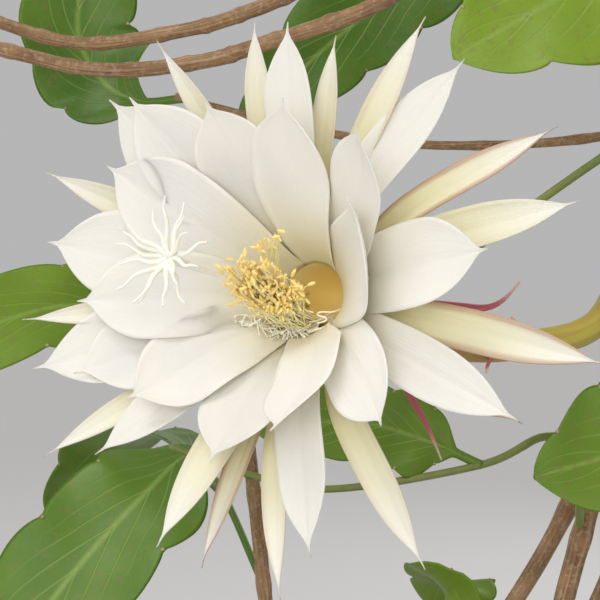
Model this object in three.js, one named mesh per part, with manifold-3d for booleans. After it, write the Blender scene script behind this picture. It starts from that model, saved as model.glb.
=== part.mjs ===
// A potted queen of the night: a terracotta pot of soil, woody canes, flattened
// leaf-like stems called cladodes, and one open night flower on its long curved tube.
// Millimetres, +Z up, origin at the centre of the pot's flat base. The flower looks
// towards -Y and -X.
import * as THREE from "three";
import { mergeVertices } from "three/addons/utils/BufferGeometryUtils.js";
import Module from "manifold-3d";

const wasm = await Module();
wasm.setup();

const V = (x, y, z) => new THREE.Vector3(x, y, z);
const rad = THREE.MathUtils.degToRad;
const ease = (t) => t * t * (3 - 2 * t);
const mix = THREE.MathUtils.lerp;

// Driving dimensions

const gap = 0.3; // between pieces that touch

const pot = {
  height: 190,
  baseRadius: 76,
  shoulderRadius: 101, // under the rim band
  rimRadius: 111,
  rimHeight: 32,
  wall: 7,
  floor: 9,
  drainRing: 46,
  drainRadius: 6,
  drains: 5,
  sides: 32,
};
const soilTop = 168;

const throat = V(-30, -150, 470); // centre of the flower's mouth
const flowerTurn = rad(34); // its axis, turned from -Y towards -X
const flowerRise = rad(7); // and lifted above the horizontal

// The cup that carries the tepals, and the floral tube behind it. The mouth stands a
// little off the axis, by a shift in the flower's own frame.
const cup = { mouth: 13.2, wall: 5, depth: 28, neck: 8.6, sides: 20, shift: V(-2, 1.4, 0) };
const tube = { hollowDepth: 46, hollowRadius: 4.4, radius: 6.2, ovary: 8.2, sides: 10 };

// Tepals, the petals and sepals of a cactus flower, in whorls from the inside out.
// ring, root: where the foot stands, as a radius and a depth under the mouth.
// footLean: the lean from the flower's axis at the foot, in degrees.
// wrap: the share of the length over which a tepal leaves the curve of its ring.
// left: how wide its left half is against its right half.
// Each row: bearing round the axis from the top, lean at the tip, length, width, and
// where they are not nought the sideways bow and the curl of the tip in degrees.
const whorls = [
  {
    ring: 14, root: 2, footLean: 26, broadest: 0.62, foot: 0.5, shoulder: 3, point: 1.1,
    hollow: 0.16, thick: 1.1, across: 3,
    rows: [
      [58, 66, 85, 36],
      [97.5, 63.3, 83.2, 34],
      [134.7, 58.7, 73.9, 34, 0, -24],
      [199, 50, 69, 29, 9, -6],
      [348, 53, 72, 34],
    ],
  },
  {
    // the broad petal that closes the cup on its right side
    ring: 14.2, root: 2.4, footLean: 34, broadest: 0.45, foot: 0.86, shoulder: 2.8, point: 1.1,
    hollow: 0.19, thick: 1.1, across: 5, wrap: 1.5, left: 0.45,
    rows: [[299, 41, 66, 56, -18, -26]],
  },
  {
    ring: 15.4, root: 3.6, footLean: 31, broadest: 0.62, foot: 0.42, shoulder: 3, point: 1.1,
    hollow: 0.14, thick: 1.1, across: 3,
    rows: [
      [19, 53, 74, 34],
      [82, 67, 98, 36],
      [116, 66, 88, 34],
      [172, 55, 73, 34],
      [228.9, 67.3, 79, 28, 2, -13],
    ],
  },
  {
    ring: 16.4, root: 4.6, footLean: 31, broadest: 0.62, foot: 0.5, shoulder: 3, point: 1.1,
    hollow: 0.14, thick: 1.1, across: 3,
    rows: [
      [39.8, 62, 92.2, 34],
      [272.5, 45, 32, 32],
      [315, 50, 80, 28, -7, -20],
    ],
  },
  {
    ring: 16.8, root: 6, footLean: 38, broadest: 0.6, foot: 0.4, shoulder: 2.8, point: 1.1,
    hollow: 0.16, thick: 1.1, across: 3,
    rows: [
      [44.5, 62, 97.2, 34],
      [111, 67, 104, 32],
      [276, 74, 86, 32],
    ],
  },
  {
    ring: 16.8, root: 6, footLean: 38, broadest: 0.6, foot: 0.45, shoulder: 2.8, point: 1.1,
    hollow: 0.2, thick: 1.2, across: 2,
    rows: [
      [359, 76, 91, 22],
      [320, 94, 98, 21],
      [244, 96, 98, 21],
      [193, 84, 95, 21],
      [138, 62, 93, 19],
    ],
  },
  {
    ring: 17.2, root: 9.5, footLean: 44, broadest: 0.6, foot: 0.5, shoulder: 2.6, point: 1.1,
    hollow: 0.24, thick: 1.3, across: 2,
    rows: [
      [8, 72, 94, 13, 5],
      [28, 62, 103, 10],
      [67, 60, 107, 12],
      [100, 60, 106, 10],
      [130, 62, 111, 11],
      [162, 66, 104, 17],
      [168, 78, 102, 10],
      [186, 82, 109, 11, -5],
      [211, 96, 107, 14],
      [242, 106, 91, 14],
      [258, 106, 115, 15],
      [287, 108, 102, 16],
      [301, 104, 104, 12],
      [331, 85, 102, 13],
      [350, 79, 85, 11],
    ],
  },
];

// Stamens on a ring inside the mouth, in sheaves that keep clear of the style between
// them. Each sheaf: how many, the bearings of its roots, the line its tips lie along in
// the same order, and how far they stray from it.
const stamens = {
  ring: 10.4, depth: 8.5, radius: 0.55, anther: 1.15, antherLength: 4.2,
  sheaves: [
    { count: 5, from: 84, to: 128, line: [V(6, 12, 36), V(1, 14, 24)], stray: 2 },
    { count: 9, from: 172, to: 236, line: [V(-1, 0, 35), V(-6, -7, 17)], stray: 3 },
    { count: 2, from: 48, to: 70, line: [V(16, 0, 26), V(11, 3, 32)], stray: 1 },
    { count: 4, from: 150, to: 190, line: [V(-14, 12, 17), V(-16, -4, 8)], stray: 1 },
  ],
};

// The style stands on the floor of the hollow, leans on the lower side of the mouth and
// ends in a star.
const pistil = {
  radius: 1.3,
  path: [
    [0, 0, -45.6], [-5, 0.5, -26], [-8.4, 1.8, -9], [-7.9, 4.6, 0],
    [-3.6, 8.6, 18], [-0.6, 8.6, 47], [0.6, 6.2, 81],
  ],
  lobes: 17, lobeLength: 22, lobeRadius: 0.8,
};

// Narrow bracts on the floral tube: place from its top to its foot, bearing, length,
// width, lean at the root and at the tip, and how far the tip hooks sideways in degrees.
const bracts = [
  [0.035, 268, 64, 4.4, 100, 104, 54],
  [0.045, 288, 44, 4, 98, 102, 29],
  [0.04, 211, 66, 4, 98, 104, -10],
  [0.04, 146, 76, 4, 92, 98, 16],
  [0.045, 118, 66, 5, 60, 70],
  [0.05, 83, 50, 5, 60, 66],
  [0.05, 47, 54, 5, 58, 66],
  [0.06, 15, 46, 5, 58, 74],
  [0.16, 200, 27, 5, 40, 60],
  [0.24, 330, 23, 5, 36, 56],
  [0.32, 90, 20, 5, 34, 54],
  [0.42, 230, 17, 5, 32, 52],
  [0.52, 350, 15, 5, 32, 50],
  [0.62, 130, 13, 5, 32, 50],
  [0.72, 260, 11, 5, 32, 50],
];

// Woody canes: radius at the foot and at the tip, then the route.
const canes = {
  cane_1: [5.6, 3.2,
    [25, 30, 96], [72, 44, 220], [130, 50, 340], [156, 50, 470], [146, 46, 600], [98, 28, 664], [44, 12, 634],
    [-4, 3, 606], [-50, 0, 590], [-86, 0, 580], [-134, -1, 577], [-184, -6, 587], [-226, -14, 590]],
  cane_2: [5.2, 3,
    [-8, 52, 96], [42, 78, 240], [112, 90, 360], [150, 86, 490], [136, 72, 610], [84, 40, 672], [30, 16, 642],
    [-18, 10, 624], [-60, 8, 606], [-92, 8, 597], [-142, 8, 591], [-190, 4, 604], [-236, -4, 622]],
  cane_3: [6, 3.4, [46, 0, 96], [76, -6, 260], [120, 4, 420], [166, 12, 570], [188, 10, 650], [196, 4, 706]],
  cane_4: [4.6, 3.2, [-32, 22, 96], [-44, 40, 230], [-54, 46, 330], [-64, 40, 420], [-74, 34, 478]],
};

// Side stems: the cane each grows from, its radius at both ends, and its route.
const sideStems = {
  branch: ["cane_3", 2.6, 2, [162, 11, 556], [130, 14, 549], [80, 16, 543], [20, 18, 543], [-40, 18, 552],
    [-96, 16, 566]],
  shoot: ["cane_3", 2.2, 1.4, [100, -1, 355], [92, -32, 396], [76, -42, 404], [46, -50, 392],
    [-22, -56, 382], [-60, -60, 390], [-92, -64, 402]],
  spray: ["cane_3", 2.4, 1.8, [165, 12, 568], [146, -6, 558], [104, -18, 531], [60, -26, 500],
    [20, -27, 469]],
};

// Cladodes: the stem each grows from, width, notches a side, the way its flat side
// faces, and its midrib from the root to the tip.
const cladodes = {
  cladode_flower: ["cane_3", 86, 6, [-0.25, -1, 0.25],
    [164, 11, 563], [192, -6, 522], [178, -36, 470], [148, -60, 426], [108, -78, 403], [64, -92, 391]],
  cladode_top_right: ["cane_3", 92, 6, [0, -1, 0.35],
    [186, 10, 640], [166, -22, 652], [128, -55, 630], [80, -78, 598], [30, -92, 568]],
  cladode_left: ["cane_4", 46, 5, [0, -1, 0.3],
    [-66, 39, 440], [-104, 14, 458], [-152, -18, 462], [-206, -46, 438], [-236, -58, 404]],
  cladode_low_left: ["cane_4", 66, 6, [-0.2, -1, 0.45],
    [-58, 44, 376], [-84, 2, 392], [-106, -36, 376], [-140, -60, 338], [-172, -74, 290], [-192, -82, 242]],
  cladode_low_middle: ["shoot", 40, 4, [0, -1, 0.2],
    [47, -50, 392], [24, -48, 402], [-10, -46, 411], [-56, -44, 408]],
  cladode_behind: ["spray", 54, 4, [-0.3, -1, 0.4],
    [24, -27, 472], [6, -25, 462], [-14, -20, 446], [-38, -15, 430], [-64, -12, 420]],
  cladode_high: ["cane_2", 60, 5, [0.1, -1, 0.1],
    [84, 40, 672], [60, 66, 666], [20, 80, 634], [-26, 68, 594], [-66, 54, 552]],
  cladode_top_left: ["branch", 62, 5, [0.3, -1, 0],
    [-92, 16, 565], [-114, 26, 565], [-134, 38, 576], [-148, 44, 604], [-140, 46, 650], [-122, 44, 702]],
  cladode_arm_end: ["cane_1", 64, 6, [-0.7, -0.7, 0],
    [-218, -13, 590], [-244, -18, 566], [-258, -22, 510], [-256, -28, 440], [-246, -36, 376]],
  cladode_arm_tip: ["cane_2", 56, 5, [-0.2, -1, 0.2],
    [-230, -3, 619], [-248, 4, 652], [-256, 10, 700], [-246, 12, 748]],
  cladode_crown: ["cane_1", 66, 5, [-0.2, -0.7, -0.7],
    [98, 28, 664], [88, 0, 708], [56, -32, 738], [12, -64, 742], [-28, -92, 716]],
  cladode_cane_tip: ["cane_3", 64, 5, [-0.6, -1, 0.2],
    [194, 5, 694], [214, 4, 734], [234, -2, 762], [262, -14, 760], [288, -28, 724]],
  cladode_right: ["cane_3", 74, 6, [0.1, -1, 0.4],
    [112, 2, 394], [160, 8, 432], [212, 4, 436], [258, -12, 400], [286, -26, 344]],
  cladode_back_right: ["cane_1", 66, 6, [0.7, 0.5, 0.4],
    [134, 50, 360], [164, 80, 404], [198, 104, 412], [228, 118, 378], [244, 126, 326]],
  cladode_back_high: ["cane_2", 68, 6, [0.8, 0.6, 0.3],
    [150, 86, 490], [164, 120, 538], [176, 156, 548], [184, 188, 512], [188, 206, 456]],
  cladode_back: ["cane_4", 66, 6, [-0.2, 1, 0.3],
    [-72, 35, 466], [-60, 68, 508], [-40, 108, 520], [-22, 142, 492], [-14, 160, 438]],
  cladode_back_left: ["cane_4", 66, 6, [-0.6, 0.6, 0.5],
    [-52, 46, 318], [-82, 86, 372], [-118, 120, 392], [-154, 146, 366], [-176, 162, 312]],
  cladode_front_low: ["cane_3", 58, 5, [0.3, -0.8, 0.5],
    [82, -6, 284], [112, -46, 322], [146, -82, 324], [176, -110, 288], [194, -126, 240]],
  cladode_low_back: ["cane_2", 56, 5, [0.2, 0.8, 0.5],
    [44, 79, 246], [48, 118, 294], [52, 154, 302], [58, 182, 266]],
  cladode_base_front: ["soil", 58, 5, [-0.2, -0.6, 0.7],
    [-12, -40, 148], [-22, -66, 216], [-40, -104, 258], [-60, -146, 264], [-78, -182, 232]],
  cladode_base_right: ["soil", 56, 5, [0.5, -0.3, 0.8],
    [62, -30, 148], [82, -42, 204], [122, -60, 232], [162, -76, 218], [192, -88, 178]],
  cladode_base_back: ["soil", 56, 5, [-0.2, 0.6, 0.7],
    [-22, 66, 148], [-32, 90, 214], [-46, 122, 250], [-62, 154, 248], [-76, 180, 212]],
  cladode_base_left: ["soil", 60, 5, [-0.5, 0.2, 0.8],
    [-54, 6, 148], [-80, 18, 206], [-122, 34, 240], [-164, 48, 230], [-196, 58, 190]],
};

// The flower's own frame: +Z out along its axis, +X to its top, +Y to its left.
const axis = V(
  -Math.sin(flowerTurn) * Math.cos(flowerRise),
  -Math.cos(flowerTurn) * Math.cos(flowerRise),
  Math.sin(flowerRise),
);
const top = V(0, 0, 1).addScaledVector(axis, -axis.z).normalize();
const flowerFrame = new THREE.Matrix4().makeBasis(top, axis.clone().cross(top), axis).setPosition(throat);
const fromFlower = (x, y, z) => V(x, y, z).applyMatrix4(flowerFrame);

// Solids

function closed(positions, faces) {
  const mesh = (list) =>
    new wasm.Manifold(
      new wasm.Mesh({
        numProp: 3,
        vertProperties: Float32Array.from(positions),
        triVerts: Uint32Array.from(list),
      }),
    );
  const made = mesh(faces);
  return made.volume() < 0 ? mesh([...faces].reverse()) : made;
}

function solid(geometry) {
  const bare = geometry.clone();
  bare.deleteAttribute("normal");
  bare.deleteAttribute("uv");
  const merged = mergeVertices(bare, 1e-4);
  return closed(merged.attributes.position.array, merged.index.array);
}

function geometryOf(made) {
  const mesh = made.getMesh();
  const geometry = new THREE.BufferGeometry();
  geometry.setAttribute("position", new THREE.BufferAttribute(mesh.vertProperties, 3));
  geometry.setIndex(new THREE.BufferAttribute(mesh.triVerts, 1));
  geometry.computeVertexNormals();
  return geometry;
}

const fuse = (parts) => wasm.Manifold.union(parts);

// The largest body of a solid, since a cut can leave a loose sliver.
function mainBody(made) {
  return made.decompose().reduce((a, b) => (b.volume() > a.volume() ? b : a));
}

// A lathed solid about +Z from a closed profile of radius and height.
function turned(profile, sides) {
  const points = profile.map(([r, z]) => new THREE.Vector2(r, z));
  return solid(new THREE.LatheGeometry(points, sides).rotateX(Math.PI / 2));
}

// A closed blade through rings of points. Each ring has a front row and a back row of
// the same count, and both faces are split along the same diagonals.
function bladeSolid(rings) {
  const columns = rings[0].front.length;
  const positions = [];
  const faces = [];
  for (const ring of rings) for (const p of [...ring.front, ...ring.back]) positions.push(p.x, p.y, p.z);
  const front = (i, j) => i * 2 * columns + j;
  const back = (i, j) => front(i, j) + columns;
  const quad = (a, b, c, d) => faces.push(a, b, c, a, c, d);
  const end = rings.length - 1;
  const last = columns - 1;
  for (let i = 0; i < end; i++) {
    for (let j = 0; j < last; j++) {
      quad(front(i, j), front(i, j + 1), front(i + 1, j + 1), front(i + 1, j));
      quad(back(i + 1, j + 1), back(i, j + 1), back(i, j), back(i + 1, j));
    }
    quad(front(i, 0), front(i + 1, 0), back(i + 1, 0), back(i, 0));
    quad(front(i, last), back(i, last), back(i + 1, last), front(i + 1, last));
  }
  for (let j = 0; j < last; j++) {
    quad(front(0, j), back(0, j), back(0, j + 1), front(0, j + 1));
    quad(front(end, j), front(end, j + 1), back(end, j + 1), back(end, j));
  }
  return closed(positions, faces);
}

// A round stem through a list of points, closed at both ends.
function stemSolid(points, radii, sides) {
  const positions = [];
  const faces = [];
  const last = points.length - 1;
  let across = V(0.8, 0.5, 0.33);
  points.forEach((p, i) => {
    const along = points[Math.min(i + 1, last)].clone().sub(points[Math.max(i - 1, 0)]).normalize();
    across = across.clone().addScaledVector(along, -across.dot(along)).normalize();
    const other = along.clone().cross(across);
    for (let k = 0; k < sides; k++) {
      const a = (2 * Math.PI * k) / sides;
      const q = p.clone().addScaledVector(across, radii[i] * Math.cos(a));
      positions.push(...q.addScaledVector(other, radii[i] * Math.sin(a)).toArray());
    }
  });
  for (let i = 0; i < last; i++)
    for (let k = 0; k < sides; k++) {
      const a = i * sides + k;
      const b = i * sides + ((k + 1) % sides);
      faces.push(a, b, b + sides, a, b + sides, a + sides);
    }
  const tip = last * sides;
  for (let k = 1; k + 1 < sides; k++) faces.push(0, k + 1, k, tip, tip + k, tip + k + 1);
  return closed(positions, faces);
}

const route = (points) => new THREE.CatmullRomCurve3(points, false, "catmullrom", 0.5);
const steps = (count) => Array.from({ length: count + 1 }, (_, i) => i / count);

// Pot and soil

function potSolid() {
  const p = pot;
  const bandFoot = p.height - p.rimHeight;
  const outside = [
    [0, 0], [p.baseRadius - 2, 0], [p.baseRadius, 3], [p.shoulderRadius, bandFoot - 3],
    [p.shoulderRadius + 2, bandFoot], [p.rimRadius - 3, bandFoot],
    [p.rimRadius, p.height - 4], [p.rimRadius - 3, p.height],
  ];
  const inside = [
    [p.rimRadius - p.wall, p.height], [p.rimRadius - p.wall - 3, p.height - 4],
    [p.shoulderRadius - p.wall, bandFoot], [p.baseRadius - p.wall + 2, p.floor + 6],
    [p.baseRadius - p.wall - 4, p.floor], [0, p.floor],
  ];
  const drains = Array.from({ length: p.drains }, (_, i) => {
    const a = (2 * Math.PI * i) / p.drains;
    const hole = new THREE.CylinderGeometry(p.drainRadius, p.drainRadius, 3 * p.floor, 8);
    hole.rotateX(Math.PI / 2).translate(p.drainRing * Math.cos(a), p.drainRing * Math.sin(a), p.floor / 2);
    return solid(hole);
  });
  return turned([...outside, ...inside], p.sides).subtract(fuse(drains));
}

const soilHeight = (x, y) =>
  soilTop + 3 * Math.sin(x / 13) * Math.cos(y / 17) + 2 * Math.sin((x + 2 * y) / 9);

function soilSolid() {
  const sides = 24;
  const bandFoot = pot.height - pot.rimHeight;
  const wide = pot.shoulderRadius - pot.wall - 1;
  const rounds = [0.3, 0.6, 0.88, 1].map((share) => ({ r: share * wide, drop: share === 1 ? 4 : 0 }));
  const foot = [
    { r: pot.baseRadius - pot.wall + 1, z: pot.floor + 7 },
    { r: pot.baseRadius - pot.wall - 5, z: pot.floor + gap },
  ];
  const positions = [0, 0, soilHeight(0, 0)];
  const faces = [];
  for (const { r, drop = 0, z } of [...rounds, ...foot])
    for (let k = 0; k < sides; k++) {
      const [x, y] = [r * Math.cos((2 * Math.PI * k) / sides), r * Math.sin((2 * Math.PI * k) / sides)];
      positions.push(x, y, z ?? soilHeight(x, y) - drop);
    }
  const layers = rounds.length + foot.length;
  const under = positions.length / 3;
  positions.push(0, 0, pot.floor + gap);
  for (let k = 0; k < sides; k++) {
    const next = (k + 1) % sides;
    faces.push(0, 1 + k, 1 + next);
    for (let layer = 0; layer + 1 < layers; layer++) {
      const a = 1 + layer * sides + k;
      const b = 1 + layer * sides + next;
      faces.push(a, a + sides, b + sides, a, b + sides, b);
    }
    const low = 1 + (layers - 1) * sides;
    faces.push(under, low + next, low + k);
  }
  return closed(positions, faces);
}

// Canes, side stems and cladodes. grow gives the same shape a little fatter, as a cutter.

function stemAlong([low, high, ...route3], grow = 0) {
  const curve = route(route3.map((p) => V(...p)));
  const shares = steps(2 * (route3.length - 1));
  const points = shares.map((s) => curve.getPoint(s));
  points[0].addScaledVector(curve.getTangent(0), -grow);
  points.at(-1).addScaledVector(curve.getTangent(1), grow);
  return stemSolid(points, shares.map((s) => mix(low, high, s) + grow), 6);
}

// The points of a cladode's cross-section at a share of its length: edge, rib, edge.
function cladodeRing([, width, notches, facing, ...route3], i) {
  const curve = route(route3.map((p) => V(...p)));
  const s = i / (2 * notches + 3);
  const along = curve.getTangent(s);
  const across = along.clone().cross(V(...facing)).normalize();
  const face = across.clone().cross(along);
  const open = ease(THREE.MathUtils.clamp((s - 0.12) / 0.3, 0, 1));
  const close = (1 - Math.max(0, 2 * s - 1) ** 2.6) ** 0.7;
  const half = Math.max(2.2, (width / 2) * open * close);
  const leafy = half > 4 ? 1 : 0;
  const rib = leafy ? mix(2.3, 1.1, s) : 1.8;
  return [-1, 0, 1].map((u) => {
    const notch = leafy && (i + (u > 0 ? 1 : 0)) % 2 && u ? 0.84 : 1;
    const lift = leafy * half * Math.abs(u) * (0.15 + 0.06 * Math.sin(2.2 * i + 2 * u));
    const q = curve.getPoint(s).addScaledVector(across, u * half * notch).addScaledVector(face, lift);
    return { q, across, face, u, thick: u && leafy ? 0.75 : rib };
  });
}

function cladodeSolid(cladode, grow = 0) {
  const count = 2 * cladode[2] + 3;
  const rings = steps(count).map((_, i) => {
    const points = cladodeRing(cladode, i);
    const row = (way) =>
      points.map(({ q, across, face, u, thick }) =>
        q.clone().addScaledVector(across, u * grow).addScaledVector(face, way * (thick + grow)));
    return { front: row(1), back: row(-1) };
  });
  return bladeSolid(rings);
}

// Flower

// A tepal's half width along its length, as a share: a foot, a broad waist, a drawn-out point.
function outline(s, { broadest, foot, shoulder, point }) {
  if (s < broadest) return foot + (1 - foot) * Math.sin((Math.PI / 2) * (s / broadest)) ** 1.2;
  return Math.max(0, 1 - ((s - broadest) / (1 - broadest)) ** shoulder) ** point;
}

function tepalSolid(whorl, [bearing, lean, length, width, bow = 0, curl = 0]) {
  const { across, wrap = 0.42, left = 1 } = whorl;
  const rows = across > 2 ? 6 : 4;
  const part = 4;
  const sunk = 2.5;
  const a = rad(bearing);
  const out = V(Math.cos(a), Math.sin(a), 0);
  const side = V(-Math.sin(a), Math.cos(a), 0);
  const leanAt = (s) => {
    const bend = mix(whorl.footLean, lean, ease(Math.min(1, s / 0.6)));
    return rad(bend + curl * Math.max(0, (s - 0.6) / 0.4) ** 2);
  };
  let [r, z] = [whorl.ring, -whorl.root];
  const rings = [];
  const ring = (radius, height, s) => {
    const now = leanAt(s);
    const flat = ease(Math.min(1, s / wrap));
    const shift = 1 - ease(Math.min(1, s / 0.6));
    const thick = (whorl.thick / 2) * mix(1.5, 0.9, s);
    const outAt = (turn) =>
      out.clone().multiplyScalar(Math.cos(turn)).addScaledVector(side, Math.sin(turn));
    const faceAt = (turn) => outAt(turn).multiplyScalar(-Math.cos(now)).setZ(Math.sin(now));
    const middle = out.clone().multiplyScalar(radius).setZ(height);
    middle.addScaledVector(side, bow * Math.sin(Math.PI * s));
    const row = (way) =>
      steps(across).map((share) => {
        const u = 2 * share - 1;
        const half = (width / 2) * Math.max(0.035, outline(s, whorl)) * (u > 0 ? left : 1);
        const lift = whorl.hollow * half * u * u + 0.03 * half * Math.sin(9 * s + bearing) * u;
        const spread = middle.clone().addScaledVector(side, half * u).addScaledVector(faceAt(0), lift);
        const turn = (half * u) / radius;
        const curved = outAt(turn).multiplyScalar(radius).setZ(height);
        const q = curved.lerp(spread, flat).addScaledVector(cup.shift, shift);
        return q.addScaledVector(faceAt(turn * (1 - flat)), way * thick);
      });
    rings.push({ front: row(1), back: row(-1) });
  };
  ring(r - sunk * Math.sin(leanAt(0)), z - sunk * Math.cos(leanAt(0)), 0);
  for (let i = 0; i <= rows; i++) {
    ring(r, z, i / rows);
    for (let k = 0; k < part; k++) {
      const now = leanAt((i + (k + 0.5) / part) / rows);
      r += (length / (rows * part)) * Math.sin(now);
      z += (length / (rows * part)) * Math.cos(now);
    }
  }
  return bladeSolid(rings);
}

// Moves what stands round the mouth off the axis, less and less towards the cup's foot.
const offAxis = (made) =>
  made.warp((p) => {
    const share = THREE.MathUtils.clamp(1 + p[2] / cup.depth, 0, 1);
    p[0] += cup.shift.x * share;
    p[1] += cup.shift.y * share;
  });

function cupSolid() {
  const { mouth, wall, depth, neck, sides } = cup;
  const inside = [[mouth, -2.4], [mouth - 0.8, -0.3 * depth], [neck + 1.6, -0.6 * depth], [neck, -depth]];
  const outside = [
    [neck + 2.4, -depth], [neck + 5.4, -0.62 * depth], [mouth + wall, -0.34 * depth], [mouth + 2.6, -3.4],
    [mouth + 0.8, -1.8],
  ];
  return turned([...inside, ...outside, inside[0]], sides);
}

// Inner wall of the cup, as a cone that clears the tepals' feet out of the hollow.
const coneRadius = (z) => mix(cup.mouth - 0.4, cup.neck, -z / cup.depth);

function perianthSolid() {
  const tepals = whorls.flatMap((whorl) => whorl.rows.map((row) => tepalSolid(whorl, row)));
  const hollow = turned(
    [[0, -cup.depth - 1], [coneRadius(-cup.depth - 1), -cup.depth - 1], [coneRadius(1), 1], [0, 1]],
    cup.sides,
  );
  return mainBody(fuse([offAxis(cupSolid()), ...tepals]).subtract(offAxis(hollow)));
}

function stamensSolid() {
  const { ring, depth, radius, anther, antherLength, sheaves } = stamens;
  const seat = (z) => coneRadius(z) * Math.cos(Math.PI / cup.sides) - gap;
  const [low, high] = [-depth - 2, -depth + 1.5];
  const bottom = [seat(low) - 1.6, low];
  const collar = turned([bottom, [seat(low), low], [seat(high), high], [seat(high) - 1.6, high], bottom], 20);
  const parts = [collar];
  for (const { count, from, to, line, stray } of sheaves)
    for (let i = 0; i < count; i++) {
      const a = rad(mix(from, to, (i + 0.5) / count));
      const out = V(Math.cos(a), Math.sin(a), 0);
      const root = out.clone().multiplyScalar(ring).setZ(-depth);
      const lip = out.clone().multiplyScalar(ring + 0.6).setZ(1);
      const astray = V(Math.sin(7 * i), Math.cos(4 * i), Math.sin(3 * i + 1)).multiplyScalar(stray);
      const tip = line[0].clone().lerp(line[1], (i + 0.5) / count).sub(cup.shift).add(astray);
      const lie = tip.clone().sub(lip).normalize().addScaledVector(out, 0.6).normalize();
      const head = [0.35, 1].map((t) => tip.clone().addScaledVector(lie, t * antherLength));
      parts.push(stemSolid([root, lip, tip, ...head], [radius, radius, radius, anther, 0.5 * anther], 4));
    }
  return offAxis(mainBody(fuse(parts)));
}

function pistilSolid() {
  const { radius, path, lobes, lobeLength, lobeRadius } = pistil;
  const curve = route(path.map((p) => V(...p)));
  const shares = steps(9);
  const radii = shares.map((s) => radius * mix(1, 1.3, s ** 4));
  const style = stemSolid(shares.map((s) => curve.getPoint(s)), radii, 6);
  const end = curve.getPoint(1);
  const star = Array.from({ length: lobes }, (_, i) => {
    const a = (2 * Math.PI * i) / lobes;
    const out = V(Math.cos(a), Math.sin(a), 0);
    const length = lobeLength * (0.92 + 0.08 * Math.sin(2.4 * i));
    const lean = rad(68 + 9 * Math.sin(2.1 * i));
    const points = [0.05, 0.4, 1].map((s) =>
      end.clone()
        .addScaledVector(out, length * s * Math.sin(lean))
        .add(V(0, 0, length * (s * Math.cos(lean) + 0.12 * s * (1 - s)) - 1.2)));
    return stemSolid(points, [lobeRadius, lobeRadius, 0.7 * lobeRadius], 3);
  });
  return mainBody(fuse([style, ...star]));
}

// The tube's route from under the cup to the edge of the cladode that bears it.
function tubeRoute() {
  const areole = cladodeRing(cladodes.cladode_flower, 6)[2];
  const joint = areole.q.clone();
  const top = [0, 8, 22].map((t) => fromFlower(0, 0, -cup.depth - gap - t));
  const foot = [14, -2].map((t) => joint.clone().addScaledVector(areole.across, t));
  return route([...top, V(31, -84, 447), V(68, -63, 447), V(98, -53, 456), ...foot]);
}

function tubeRadius(s) {
  const flare = (cup.neck + 2.4 - tube.radius) * Math.max(0, 1 - s / 0.22) ** 2;
  const ovary = (tube.ovary - tube.radius) * Math.exp(-(((s - 0.84) / 0.09) ** 2));
  const foot = (tube.radius - 3) * ease(THREE.MathUtils.clamp((s - 0.88) / 0.12, 0, 1));
  return tube.radius + flare + ovary - foot;
}

function bractSolid(curve, [place, bearing, length, width, leanFrom, leanTo, hook = 0]) {
  const up = curve.getTangentAt(place).negate();
  const north = V(0, 0, 1).addScaledVector(up, -up.z).normalize();
  const west = up.clone().cross(north);
  const a = rad(bearing);
  const out = north.multiplyScalar(Math.cos(a)).addScaledVector(west, Math.sin(a));
  const side = up.clone().cross(out);
  const rows = length > 30 ? 5 : 2;
  const now = curve.getPointAt(place).addScaledVector(out, 0.5 * tubeRadius(place));
  const rings = steps(rows).map((s) => {
    const lean = rad(mix(leanFrom, leanTo, ease(s)));
    const turn = rad(hook) * ease(THREE.MathUtils.clamp((s - 0.5) / 0.4, 0, 1));
    const forward = up.clone().multiplyScalar(Math.cos(lean)).addScaledVector(out, Math.sin(lean));
    const along = forward.clone().multiplyScalar(Math.cos(turn)).addScaledVector(side, Math.sin(turn));
    const beside = side.clone().multiplyScalar(Math.cos(turn)).addScaledVector(forward, -Math.sin(turn));
    const face = beside.clone().cross(along).negate();
    const half = (width / 2) * Math.max(0.16, 1 - s ** 2.2);
    const row = (way) =>
      [-1, 0, 1].map((u) => {
        const lift = 0.3 * half * u * u + 0.5 * way;
        return now.clone().addScaledVector(beside, half * u).addScaledVector(face, lift);
      });
    const ring = { front: row(1), back: row(-1) };
    now.addScaledVector(along, length / rows);
    return ring;
  });
  return bladeSolid(rings);
}

function tubeSolid() {
  const curve = tubeRoute();
  const shares = [0, ...steps(13).map((s) => mix(0.04, 1, s))];
  const body = stemSolid(shares.map((s) => curve.getPointAt(s)), shares.map(tubeRadius), tube.sides);
  const start = cup.depth + gap;
  const hollow = stemSolid(
    [-1, 0, 9, tube.hollowDepth - start].map((t) => fromFlower(0, 0, -start - t)),
    [cup.neck + 0.2, cup.neck, tube.hollowRadius + 1, tube.hollowRadius],
    tube.sides,
  );
  const scales = bracts.map((bract) => bractSolid(curve, bract));
  const bearer = cladodeSolid(cladodes.cladode_flower, gap);
  return mainBody(fuse([body, ...scales]).subtract(fuse([hollow, bearer])));
}

// Assembly

const group = new THREE.Group();

function add(name, made, color, roughness = 0.7) {
  const material = new THREE.MeshStandardMaterial({ color, roughness, metalness: 0 });
  const mesh = new THREE.Mesh(geometryOf(made), material);
  mesh.name = name;
  group.add(mesh);
}

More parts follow.
